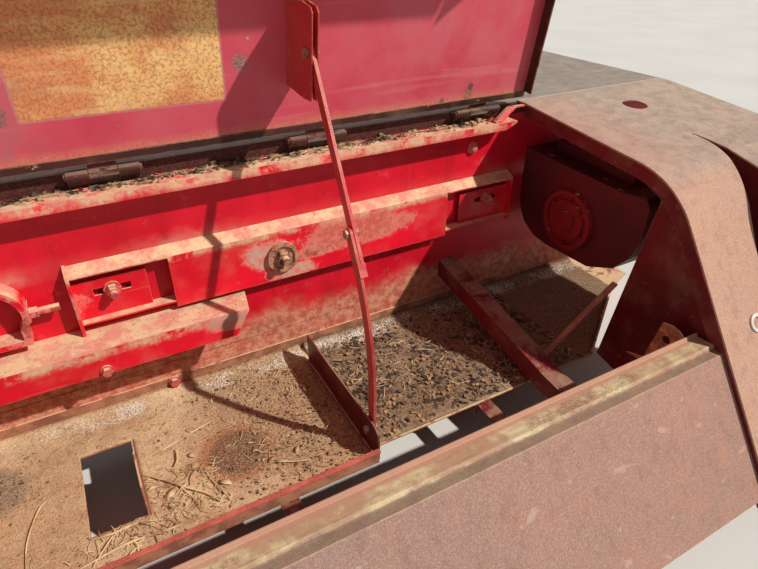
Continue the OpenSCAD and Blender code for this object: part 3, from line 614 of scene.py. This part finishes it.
# %% Bare and cast metal
def bare_metal(name, light, dark, coarse, metallic, rough, dust, flecks=0.4):
    """Mottled metal. coarse is how many blotches there are to the metre."""
    f = Finish(name)
    cloud = f.spots(coarse, 5, 0.65)
    grain = f.spots(380, 3, 0.65, seed=1.0)
    colour = f.mix((cloud + (grain - 0.5) * 0.3).step(0.38, 0.62), dark, light)
    colour = f.mix(grain.step(0.55, 0.70) * flecks, colour, rgb(206, 160, 120))
    least = 0.62 - dust * 0.3
    lying = f.facing_up.step(0.4, 0.8) * f.spots(40, 4, 0.6, seed=2.0).step(least, least + 0.08)
    colour = f.mix(lying * 0.85, colour, DUST)
    f.wear(
        Base_Color=colour,
        Metallic=(1 - lying) * metallic,
        Roughness=(rough + cloud * 0.2) & 0.95,
        Normal=f.bump(cloud * 0.5 + grain * 0.7, 0.0007),
    )


bare_metal("worn_steel", rgb(168, 134, 118), rgb(124, 72, 62), 90, 0.35, 0.45, 0.5)
bare_metal("bolt_paint", rgb(216, 110, 104), rgb(172, 62, 64), 80, 0.1, 0.5, 0.7)
bare_metal("boss_rust", rgb(206, 150, 118), rgb(96, 56, 42), 46, 0.2, 0.6, 0.6)
bare_metal("casting", rgb(104, 24, 30), rgb(78, 20, 26), 7, 0.0, 0.45, 0.0, 0.06)
bare_metal("cap_paint", rgb(150, 22, 34), rgb(116, 18, 28), 14, 0.0, 0.45, 0.1, 0.1)
bare_metal("bracket_tan", rgb(226, 172, 120), rgb(176, 112, 74), 60, 0.0, 0.6, 0.5)
bare_metal("white_plastic", rgb(226, 224, 216), rgb(200, 196, 186), 40, 0.0, 0.4, 0.0)
print("finishes so far", len(finishes))

# %% [markdown]
# ## The tray's sheet
# The tray has lost its paint and lies under soil, but the folded top of its
# front flange is still red. Where a point lies tells the two apart.

# %% Tray sheet
def tray_sheet():
    """Rusted floor and flanges, with red left on the front flange's folded top."""
    f = Finish("tray_rust")
    cloud = f.spots(26, 5, 0.66)
    grain = f.spots(380, 3, 0.65, seed=1.0)
    colour = f.mix((cloud + (grain - 0.5) * 0.3).step(0.38, 0.62), rgb(136, 84, 64), rgb(178, 120, 90))
    lying = f.facing_up.step(0.4, 0.8) * f.spots(34, 4, 0.6, seed=2.0).step(0.36, 0.46)
    colour = f.mix(lying * 0.8, colour, DUST)
    front = f.y.step(-0.3470, -0.3490) * f.z.step(-0.196, -0.192)
    red = f.mix(cloud.step(0.40, 0.62), rgb(166, 66, 58), rgb(202, 92, 80))
    red = f.mix(grain.step(0.58, 0.68) * 0.5, red, rgb(214, 160, 130))
    colour = f.mix(front * 0.92, colour, red)
    f.wear(
        Base_Color=colour,
        Roughness=(0.7 + cloud * 0.2) & 0.95,
        Normal=f.bump(cloud * 0.5 + grain * 0.7, 0.0007),
    )


tray_sheet()
print("finishes", len(finishes))

# %% [markdown]
# ## The finishes on the CAD nodes
# The nodes keep their meshes. Each one only gets its material, and the sharp
# corners of folded sheet are rounded by a bevel of 0.6 mm, which catches the
# light as a real fold does.

# %% Assign the finishes
wears = {
    "wall_paint": ["case_wall"],
    "rail_paint": [
        "slide_channel", "recess_left", "recess_right", "lower_rail",
        "stop_strap", "stop_rod", "rail_wedge",
    ],
    "ledge_paint": ["top_ledge", "ledge_strap"],
    # The hinges and the lid's edges are darkened as painted shade.
    "hinge_rust_and_painted_shade": ["hinge_leaves", "lid_hinge_leaves", "lid_edges", "hinge_pins"],
    "lid_paint": ["lid_panel"],
    "stay_paint": ["stay_upper", "stay_lower", "lid_bracket"],
    # These parts wear the red darkened as painted shade.
    "shaded_paint": [
        "divider", "tray_hangers", "cross_beam", "panel_braces",
        "hood_rim", "cover_side", "hood_end_rim", "side_gusset",
    ],
    "tray_rust": ["tray", "left_end_plate", "corner_strap"],
    "hood_paint": ["hood_skin", "outer_cover"],
    "deck_paint": ["deck_plate"],
    "panel_paint": ["front_panel"],
    "bracket_tan": ["corner_bracket"],
    "worn_steel": ["divider_nut", "gearbox_shaft", "lid_pin", "knee_bolt", "foot_bolt"],
    "bolt_paint": ["slide_bolts", "rail_bolt", "tray_bolt"],
    "boss_rust": ["bearing_boss"],
    "casting": ["gearbox_case", "gearbox_cover"],
    "cap_paint": ["gearbox_cap"],
    "white_plastic": ["latch_ring"],
}
FOLD_WIDTH, MERGE_GAP = 0.0006, 0.00002
SHARP = math.radians(35)
for finish, members in wears.items():
    for name in members:
        piece = nodes[name]
        piece.data.materials.clear()
        piece.data.materials.append(finishes[finish])
        weld = piece.modifiers.new("weld", "WELD")
        weld.merge_threshold = MERGE_GAP
        bevel = piece.modifiers.new("fold", "BEVEL")
        bevel.width = FOLD_WIDTH
        bevel.segments = 2
        bevel.limit_method = "ANGLE"
        bevel.angle_limit = SHARP
missing = set(nodes) - {name for members in wears.values() for name in members}
print("nodes without a finish", sorted(missing))

# %% [markdown]
# ## Soil in the tray
# Years of chaff and dust lie in the tray. A flat sheet with a printed pattern
# would look painted on, so the soil is a closed, uneven layer: a grid whose
# height follows noise, thin where the floor shows and banked against the walls.

# %% A mesh that rides a body
def new_piece(name, points, faces, finish, body, smooth=True):
    """A mesh of its own that rides a body."""
    mesh = bpy.data.meshes.new(name)
    mesh.from_pydata([tuple(p) for p in points], [], faces)
    mesh.validate()
    mesh.update()
    for polygon in mesh.polygons:
        polygon.use_smooth = smooth
    piece = bpy.data.objects.new(name, mesh)
    scene.collection.objects.link(piece)
    mesh.materials.append(finish)
    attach(piece, body)
    return piece

# %% Soil layer
def soil_height(x, y, depth, seed):
    """Height of the soil in millimetres at a point of the tray."""
    broad = noise.noise(Vector((x * 0.008, y * 0.008, seed)))
    lumps = noise.noise(Vector((x * 0.035, y * 0.035, seed + 4)))
    crumbs = noise.noise(Vector((x * 0.16, y * 0.16, seed + 9)))
    return max(0.15, depth * (0.9 + 0.9 * broad + 0.45 * lumps) + 0.9 * crumbs)


TRAY_FLOOR = 54
BANK_WIDTH, BANK_HEIGHT = 40, 10


def soil_layer(name, corners, depth, seed, inside, step=6, lines=((), ())):
    """A closed layer of soil on the part of a rectangle where inside(x, y) says there is a floor.
    lines are extra grid lines, for an edge that runs between the others."""
    (x0, x1), (y0, y1) = corners
    xs = np.union1d(np.linspace(x0, x1, int((x1 - x0) / step) + 1), lines[0])
    ys = np.union1d(np.linspace(y0, y1, int((y1 - y0) / step) + 1), lines[1])
    kept = {}
    points = []
    for i, x in enumerate(xs):
        for j, y in enumerate(ys):
            if not inside(x, y):
                continue
            kept[i, j] = len(points)
            near = max(0, 1 - (y1 - y) / BANK_WIDTH)
            rise = soil_height(x, y, depth, seed) + BANK_HEIGHT * near * near
            points.append(at(x, y, TRAY_FLOOR + rise))
            points.append(at(x, y, TRAY_FLOOR + 0.05))
    faces = []
    sides = {}
    for i in range(len(xs) - 1):
        for j in range(len(ys) - 1):
            cell = [(i, j), (i + 1, j), (i + 1, j + 1), (i, j + 1)]
            if not all(corner in kept for corner in cell):
                continue
            top = [kept[corner] for corner in cell]
            faces.append(tuple(top))
            faces.append(tuple(k + 1 for k in reversed(top)))
            for a, b in zip(top, top[1:] + top[:1]):
                if (b, a) in sides:
                    del sides[b, a]
                else:
                    sides[a, b] = True
    faces += [(b, a, a + 1, b + 1) for a, b in sides]
    return new_piece(name, points, faces, finishes["soil"], "box")

# %% [markdown]
# The soil's colour follows its place: oil has dripped beside the divider,
# gravel lies at the left, and the right bay, where old leaves lie, is darkened as painted shade.

# %% Soil finish
# The x and y of the middle of the stain and of the gravel
OIL_STAIN = (-0.095, -0.222)
GRAVEL_PATCH = (-0.455, -0.123)


def soil_finish():
    """Dry soil: oily near the divider, grey with gravel at the left, darkened as painted shade in the right
    bay.
    """
    f = Finish("soil")
    broad = f.spots(7, 4, 0.6)
    lumps = f.spots(60, 5, 0.7, seed=1.0)
    grains = f.spots(300, 4, 0.75, seed=2.0)
    colour = f.mix(broad.step(0.36, 0.64), rgb(226, 192, 150), rgb(200, 162, 122))
    colour = f.mix(lumps.step(0.50, 0.68) * 0.55, colour, rgb(150, 112, 82))
    rust_ring = f.spots(9, 4, 0.6, seed=3.0).step(0.56, 0.68)
    colour = f.mix(rust_ring * 0.35, colour, rgb(196, 128, 86))
    stain = squares(f.x - OIL_STAIN[0], f.y - OIL_STAIN[1]) + (lumps - 0.5) * 0.0035
    colour = f.mix(stain.step(0.0048, 0.0030) * 0.7, colour, rgb(186, 112, 68))
    colour = f.mix(stain.step(0.0030, 0.0016) * 0.75, colour, rgb(104, 78, 60))
    colour = f.mix(grains.step(0.54, 0.66) * 0.5, colour, rgb(244, 220, 184))
    colour = f.mix(grains.step(0.45, 0.33) * 0.7, colour, rgb(92, 66, 50))
    ragged = (lumps - 0.5) * 0.05
    chips = (f.x + ragged).step(-0.17, -0.03) * (f.y + ragged).step(-0.33, -0.26)
    colour = f.mix(chips * 0.5, colour, f.mix(grains.step(0.44, 0.58), rgb(84, 62, 48), rgb(190, 156, 120)))
    # Painted shade: the right bay's soil is darkened, standing in for the shadow that falls there.
    bay = f.x.step(0.095, 0.125)
    colour = f.mix(bay * 0.6, colour, f.mix(grains.step(0.42, 0.60), rgb(70, 56, 46), rgb(140, 118, 96)))
    far_left = squares(f.x - GRAVEL_PATCH[0], f.y - GRAVEL_PATCH[1]) + ragged * 0.05
    far_left = far_left.step(0.0036, 0.0014)
    grit = f.mix(grains.step(0.40, 0.60), rgb(96, 84, 70), rgb(160, 142, 118))
    colour = f.mix(far_left * 0.6, colour, grit)
    crust = f.y.step(-0.062, -0.040) * f.y.step(-0.012, -0.026)
    crust = crust * (grains + (f.spots(12, 4, 0.6, seed=6.0) - 0.5) * 0.6).step(0.50, 0.58)
    colour = f.mix(crust * 0.8, colour, rgb(236, 228, 216))
    f.wear(
        Base_Color=colour,
        Roughness=0.93,
        Normal=f.bump(lumps * 0.7 + grains, 0.0028),
        Specular_IOR_Level=0.2,
    )


soil_finish()
print("finishes so far", len(finishes))

# %% Lay the soil
# The x of the hole's left and right edge, then the y of its front and back edge
HOLE_EDGES = (301.4, 385.6, -269.6, -100.4)
BAY_FRONT, BAY_TAPER = -316, 0.677


def clear_of_hole(x, y):
    """True on the hole's edge and outside it. The tab is on the hole's right."""
    return not (HOLE_EDGES[0] < x < HOLE_EDGES[1] and HOLE_EDGES[2] < y < HOLE_EDGES[3])


def bay_floor(x, y):
    """The right bay's floor runs on under the gearbox and narrows there."""
    front = BAY_FRONT if x < BOX_LENGTH - 2 else BAY_FRONT + (x - BOX_LENGTH) * BAY_TAPER
    return y > front


soil_layer("soil_left", ((6, 734), (-342, -4)), 1.8, 1.0, clear_of_hole,
           lines=(HOLE_EDGES[:2], HOLE_EDGES[2:]))
soil_layer("soil_right", ((743, 1500), (-314, -4)), 3.4, 5.0, bay_floor, step=7)
print("soil layers made")

# %% [markdown]
# ## Straw, leaves and crumbs
# What lies in a twine box is chaff: short straws, curled leaves and clods. A
# particle system would need baking, so each kind is one mesh built from many
# small closed shapes, dropped by a seeded random generator.

# %% Litter shapes
UP = Vector((0, 0, 1))


def ring(centre, side, up, radius, sides):
    """The points of one ring of a tube."""
    turns = [math.tau * k / sides for k in range(sides)]
    return [centre + (side * math.cos(a) + up * math.sin(a)) * radius for a in turns]


def tube_faces(rings, sides):
    """The faces of a closed tube whose points come ring after ring."""
    faces = []
    for i in range(rings - 1):
        for k in range(sides):
            a, b = i * sides + k, i * sides + (k + 1) % sides
            faces.append((a, b, b + sides, a + sides))
    faces.append(tuple(reversed(range(sides))))
    faces.append(tuple((rings - 1) * sides + k for k in range(sides)))
    return faces


class Litter:
    """Collects many small closed shapes into one mesh."""

    def __init__(self, seed):
        self.random = np.random.default_rng(seed)
        self.points = []
        self.faces = []

    def add(self, points, faces):
        start = len(self.points)
        self.points += [at(*p) for p in points]
        self.faces += [tuple(start + k for k in face) for face in faces]

    def straw(self, x, y, z, length, radius, heading, rise, bend):
        """A bent tube with closed ends, lying at a heading."""
        rings, sides = 6, 5
        points = []
        for i in range(rings):
            t = i / (rings - 1) - 0.5
            turn = heading + bend * t * 2
            centre = Vector((x + math.cos(turn) * length * t, y + math.sin(turn) * length * t, 0))
            centre.z = z + rise * (t + 0.5) + radius
            thin = radius * (1 - 0.5 * abs(t))
            side = Vector((-math.sin(turn), math.cos(turn), 0))
            points += ring(centre, side, UP, thin, sides)
        self.add(points, tube_faces(rings, sides))

    def twig(self, points, radius, sides=6):
        """A closed tube along points, thinner at its ends, for stalks that cross the tray."""
        path = [Vector(p) for p in points]
        fine = []
        for i in range(len(path) - 1):
            a, b = path[max(i - 1, 0)], path[i]
            c, d = path[i + 1], path[min(i + 2, len(path) - 1)]
            for k in range(5):
                t = k / 5
                fine.append(0.5 * (2 * b + (c - a) * t + (2 * a - 5 * b + 4 * c - d) * t ** 2
                                   + (3 * b - a - 3 * c + d) * t ** 3))
        fine.append(path[-1])
        points = []
        for i, centre in enumerate(fine):
            along = (fine[min(i + 1, len(fine) - 1)] - fine[max(i - 1, 0)]).normalized()
            side = along.cross(UP).normalized()
            up = side.cross(along)
            share = i / (len(fine) - 1)
            thin = radius * (1 - 0.6 * abs(2 * share - 1) ** 3) * self.random.uniform(0.85, 1.1)
            points += ring(centre, side, up, thin, sides)
        self.add(points, tube_faces(len(fine), sides))

    def leaf(self, x, y, z, length, width, heading, curl):
        """A curled flake with a thickness."""
        along = Vector((math.cos(heading), math.sin(heading), 0))
        across = Vector((-along.y, along.x, 0))
        tilt = self.random.uniform(-0.35, 0.35)
        points = []
        for layer in (0.5, 0):
            for i in range(4):
                t = i / 3 - 0.5
                half = width * (0.5 - 1.6 * t * t + 0.08)
                for s in (-1, 1):
                    rise = curl * (1 - 4 * t * t) * 0.6 + tilt * s * half + abs(tilt) * width * 0.6
                    p = Vector((x, y, z + layer)) + along * length * t + across * s * half
                    points.append(p + Vector((0, 0, max(0.1, rise))))
        faces = []
        for i in range(3):
            a = 2 * i
            faces.append((a, a + 2, a + 3, a + 1))
            faces.append((a + 8, a + 9, a + 11, a + 10))
            faces.append((a, a + 8, a + 10, a + 2))
            faces.append((a + 1, a + 3, a + 11, a + 9))
        faces.append((0, 1, 9, 8))
        faces.append((6, 14, 15, 7))
        self.add(points, faces)

    def clod(self, x, y, z, size):
        """A rough lump of eight corners."""
        shift = self.random.uniform(-0.25, 0.25, (8, 3)) * size
        points = []
        for k in range(8):
            corner = Vector(((k & 1) - 0.5, (k >> 1 & 1) - 0.5, (k >> 2 & 1) * 0.7)) * size
            points.append(Vector((x, y, z)) + corner + Vector(shift[k]) * 0.9 + Vector((0, 0, 0.2 * size)))
        self.add(points, [(0, 2, 3, 1), (4, 5, 7, 6), (0, 1, 5, 4), (2, 6, 7, 3), (0, 4, 6, 2), (1, 3, 7, 5)])

    def piece(self, name, finish, smooth=True):
        return new_piece(name, self.points, self.faces, finish, "box", smooth)


print("faces in a straw of 6 rings of 5", len(tube_faces(6, 5)))

# %% [markdown]
# Straw, leaf, chaff, clod and gravel differ only in their two tones and in how
# fine these change, so one short function serves all six.

# %% Finishes of the litter
def litter_finish(name, light, dark, scale):
    f = Finish(name)
    tint = f.spots(scale, 2, 0.5)
    colour = f.mix(tint.step(0.35, 0.65), dark, light)
    fibres = f.spots(700, 2, 0.6, seed=1.0)
    f.wear(
        Base_Color=f.mix(fibres.step(0.5, 0.7) * 0.3, colour, dark),
        Roughness=0.8,
        Normal=f.bump(fibres, 0.0003),
        Specular_IOR_Level=0.25,
    )


litter_finish("straw", rgb(236, 214, 168), rgb(170, 138, 98), 30)
litter_finish("leaf", rgb(196, 168, 132), rgb(116, 90, 68), 24)
# Leaves darkened as painted shade, for the right bay.
litter_finish("leaf_in_painted_shade", rgb(112, 94, 78), rgb(62, 50, 42), 24)
litter_finish("chaff", rgb(196, 166, 126), rgb(52, 38, 32), 40)
litter_finish("clod", rgb(188, 152, 114), rgb(100, 76, 58), 34)
litter_finish("gravel", rgb(160, 142, 118), rgb(90, 76, 62), 60)
print("finishes in all", len(finishes))

# %% [markdown]
# Chaff isn't spread evenly. It gathers beside the divider and along the front
# flange, so a shape is dropped at random and then kept by a chance that
# depends on its place. The long stalks are drawn one by one.

# %% Litter on the floor
LEFT_BAY = (10, 730, -338, -10)
RIGHT_BAY = (748, 1230, -310, -10)
SOIL_TOP = TRAY_FLOOR + 3.5


def scatter(litter, kind, count, zone, size, thick, crowd=None):
    """Drops count shapes in a zone. crowd(x, y) gives the share that stays at a point."""
    draw = litter.random
    for _ in range(count):
        x, y = draw.uniform(zone[0], zone[1]), draw.uniform(zone[2], zone[3])
        chance, length, radius = draw.uniform(), draw.uniform(*size), draw.uniform(*thick)
        heading, lean = draw.uniform(0, math.tau), draw.uniform(-0.5, 0.5)
        z = TRAY_FLOOR + draw.uniform(0.5, 3.0)
        if not clear_of_hole(x, y):
            continue
        if crowd is not None and chance > crowd(x, y):
            continue
        if kind == "straw":
            litter.straw(x, y, z + 1, length, radius, heading, draw.uniform(0, 6), lean)
        elif kind == "leaf":
            litter.leaf(x, y, z, length, length * draw.uniform(0.3, 0.6), heading, radius)
        else:
            litter.clod(x, y, z, length)


def near_divider(x, y):
    """Chaff has gathered beside the divider and along the front flange."""
    side = max(0.0, min(1.0, (x - 430) / 180))
    front = max(0.0, min(1.0, (-250 - y) / 60))
    return max(0.06, side, 0.6 * front)


def by_divider(x, y):
    """Chips lie thick beside the divider and below the hole, and thin out to the left."""
    spill = max(0, 1 - math.hypot((x - 350) / 75, (y + 296) / 24))
    return max(0.04, min(1.0, (x - 470) / 160), 0.8 * spill)


straw = Litter(11)
scatter(straw, "straw", 420, LEFT_BAY, (6, 26), (0.4, 0.9), near_divider)
scatter(straw, "straw", 260, RIGHT_BAY, (8, 34), (0.5, 1.0))
# Each stalk's radius and the points that it runs through
STALKS = [
    (1.7, [(268, -320), (344, -309), (392, -312), (441, -316), (492, -318)]),
    (1.5, [(390, -194), (414, -218), (442, -250), (467, -275), (486, -306)]),
    (1.1, [(427, -226), (446, -268), (455, -302)]),
    (1.3, [(300, -276), (331, -282), (364, -279), (399, -293)]),
    (1.0, [(219, -300), (221, -240), (237, -188), (250, -172)]),
    (2.0, [(447, -164), (443, -189), (436, -200)]),
    (1.0, [(450, -249), (457, -231), (473, -217)]),
    (1.2, [(478, -231), (484, -260), (500, -309)]),
    (1.6, [(584, -271), (613, -285), (638, -296)]),
    (1.2, [(331, -284), (319, -299), (300, -322)]),
    (0.9, [(150, -262), (196, -281), (262, -306)]),
    (1.0, [(412, -160), (470, -140), (520, -128)]),
]
for number, (radius, route) in enumerate(STALKS):
    lifts = [SOIL_TOP + radius + 1.6 * math.sin(number + 1.7 * k) ** 2 for k in range(len(route))]
    straw.twig([(x, y, z) for (x, y), z in zip(route, lifts)], radius)
scatter(straw, "straw", 150, (390, 500, -316, -205), (7, 28), (0.35, 0.8))
scatter(straw, "straw", 40, (290, 390, -318, -274), (10, 34), (0.4, 0.9))
PALE_LEAVES = [
    (420, -250, 24, 0.9), (466, -189, 15, 2.2), (500, -270, 22, 2.4), (581, -262, 16, 0.4),
    (625, -262, 14, 1.2), (560, -210, 12, 2.9), (395, -225, 11, 0.2),
]
for x, y, size, heading in PALE_LEAVES:
    straw.leaf(x, y, SOIL_TOP, size, size * 0.45, heading, 3.0)
straw.piece("straw_bits", finishes["straw"])
leaves = Litter(12)
scatter(leaves, "leaf", 1100, LEFT_BAY, (2.5, 9), (0.5, 2.5), by_divider)
scatter(leaves, "leaf", 160, RIGHT_BAY, (4, 12), (1, 3))
leaves.piece("leaf_bits", finishes["leaf"], False)
# The right bay's leaves are darkened as painted shade.
leaves_in_painted_shade = Litter(14)
scatter(leaves_in_painted_shade, "leaf", 1500, RIGHT_BAY, (4, 16), (1, 4))
leaves_in_painted_shade.piece("dark_leaf_bits", finishes["leaf_in_painted_shade"], False)
clods = Litter(13)
scatter(clods, "clod", 2600, LEFT_BAY, (0.8, 3.4), (1, 1), by_divider)
scatter(clods, "clod", 500, LEFT_BAY, (0.6, 1.8), (1, 1))
scatter(clods, "clod", 900, RIGHT_BAY, (2, 6), (1, 1))
clods.piece("clods", finishes["clod"], False)
gravel = Litter(15)
scatter(gravel, "clod", 620, (120, 235, -185, -60), (0.7, 2.2), (1, 1),
        lambda x, y: max(0.04, 1.1 - math.hypot((x - 176) / 46, (y + 120) / 52)))
gravel.piece("gravel", finishes["gravel"], False)
print("litter", len(straw.faces), len(leaves.faces), len(leaves_in_painted_shade.faces), len(clods.faces), "faces")

# %% [markdown]
# ## Chaff on the ledge
# The ledge under the hinges never gets swept. Twine ends, twigs and black
# crumbs lie along its back, which a plain angle iron would not show.

# %% Chaff along the ledge
LEDGE_TOP = 475
chaff = Litter(21)
draw = chaff.random
for number in range(1100):
    x, y = draw.uniform(14, 1180), -3.5 - abs(draw.normal(0, 10))
    if y < -35:
        continue
    z = LEDGE_TOP + draw.uniform(0.2, 3.5) * max(0.2, 1 + y / 36)
    if draw.uniform() < 0.45:
        length, radius = draw.uniform(6, 26), draw.uniform(0.4, 1.0)
        heading = draw.uniform(-0.5, 0.5) + (math.pi if number % 2 else 0)
        chaff.straw(x, y, z, length, radius, heading, draw.uniform(0, 2), draw.uniform(-0.4, 0.4))
    else:
        small = draw.uniform() < 0.97
        chaff.clod(x, y, z - 0.4, draw.uniform(1.2, 4.2) if small else draw.uniform(6, 9))
chaff.piece("ledge_chaff", finishes["chaff"], False)
print("ledge chaff", len(chaff.faces), "faces")

# %% [markdown]
# ## Bolts of the case
# The wall hangs on the bale case by four bolts. Their domed heads close the
# holes that the CAD wall has for them.

# %% Bolt heads in the wall's holes
ALONG_X = Vector((1, 0, 0))


def dome(profile, centre, sides=28):
    """Turns a profile of (radius, distance in front of the wall) about an axis square to the wall."""
    points = []
    for radius, out in profile:
        points += ring(Vector((centre[0], -out, centre[1])), ALONG_X, UP, radius, sides)
    return [at(*p) for p in points], tube_faces(len(profile), sides)


BOLT_PROFILE = [
    (6.6, -4.9), (6.6, 0.0), (13.0, 0.05), (13.0, 1.6), (12.4, 2.2),
    (9.6, 2.4), (9.4, 5.4), (8.6, 7.6), (6.2, 9.2), (3.0, 9.9),
]
CASE_BOLTS = [(110, 120), (1150, 120), (110, 420), (1150, 420)]
for number, centre in enumerate(CASE_BOLTS):
    points, faces = dome(BOLT_PROFILE, centre)
    head = new_piece(f"case_bolt_{number + 1}", points, faces, finishes["bolt_paint"], "box")
    rim = head.modifiers.new("rim", "BEVEL")
    rim.width = 0.0004
    rim.limit_method = "ANGLE"
print("case bolts", len(CASE_BOLTS))

# %% [markdown]
# ## Weld beads
# Welds hold the brackets on. A bead is a row of overlapping drops, so it is
# drawn as one tube whose thickness swells and shrinks along its length.

# %% Beads along the seams
def bead(name, start, end, radius):
    """A weld bead from start to end, in millimetres."""
    start, end = Vector(start), Vector(end)
    length = (end - start).length
    count = max(8, int(length / 1.2))
    along = (end - start).normalized()
    side = along.orthogonal().normalized()
    up = along.cross(side)
    points, sides = [], 8
    for i in range(count + 1):
        t = i / count
        ripple = 0.20 * abs(math.sin(t * length / 2.6))
        uneven = 0.06 * noise.noise(Vector((t * length * 0.4, 3, 1)))
        thin = radius * (0.80 + ripple + uneven) * min(1.0, 0.35 + 12 * min(t, 1 - t))
        points += ring(start + along * length * t, side, up, thin, sides)
    faces = tube_faces(count + 1, sides)
    return new_piece(name, [at(*p) for p in points], faces, finishes["rail_paint"], "box")


SEAMS = {
    "weld_channel_end": ((359.3, -1.2, 250), (359.3, -1.2, 340), 1.9),
    "weld_channel_end_low": ((364, -24, 235.8), (364, -3, 235.8), 1.8),
    "weld_divider_foot": ((737, -70, 54.6), (737, -180, 54.6), 1.6),
    "weld_ledge_strap": ((1178, -33, 475.6), (1192, -33, 475.6), 1.6),
}
for name, (start, end, radius) in SEAMS.items():
    bead(name, start, end, radius)
print("weld beads", len(SEAMS))

# %% [markdown]
# ## The stage
# A plain pale floor below the box takes its shadow. It isn't part of the box.

# %% Floor
FLOOR_GAP = 0.03
FLOOR_Z = cad_low.z - FLOOR_GAP
bpy.ops.mesh.primitive_plane_add(size=30, location=(0, 0, FLOOR_Z))
floor = bpy.context.object
floor.name = "floor"
ground = Finish("pale_floor")
tone = ground.spots(2, 2, 0.5).step(0.2, 0.8)
floor.data.materials.append(ground.wear(
    Base_Color=ground.mix(tone, rgb(214, 212, 206), rgb(222, 220, 214)),
    Roughness=0.9,
))
print("floor at", round(FLOOR_Z, 3))
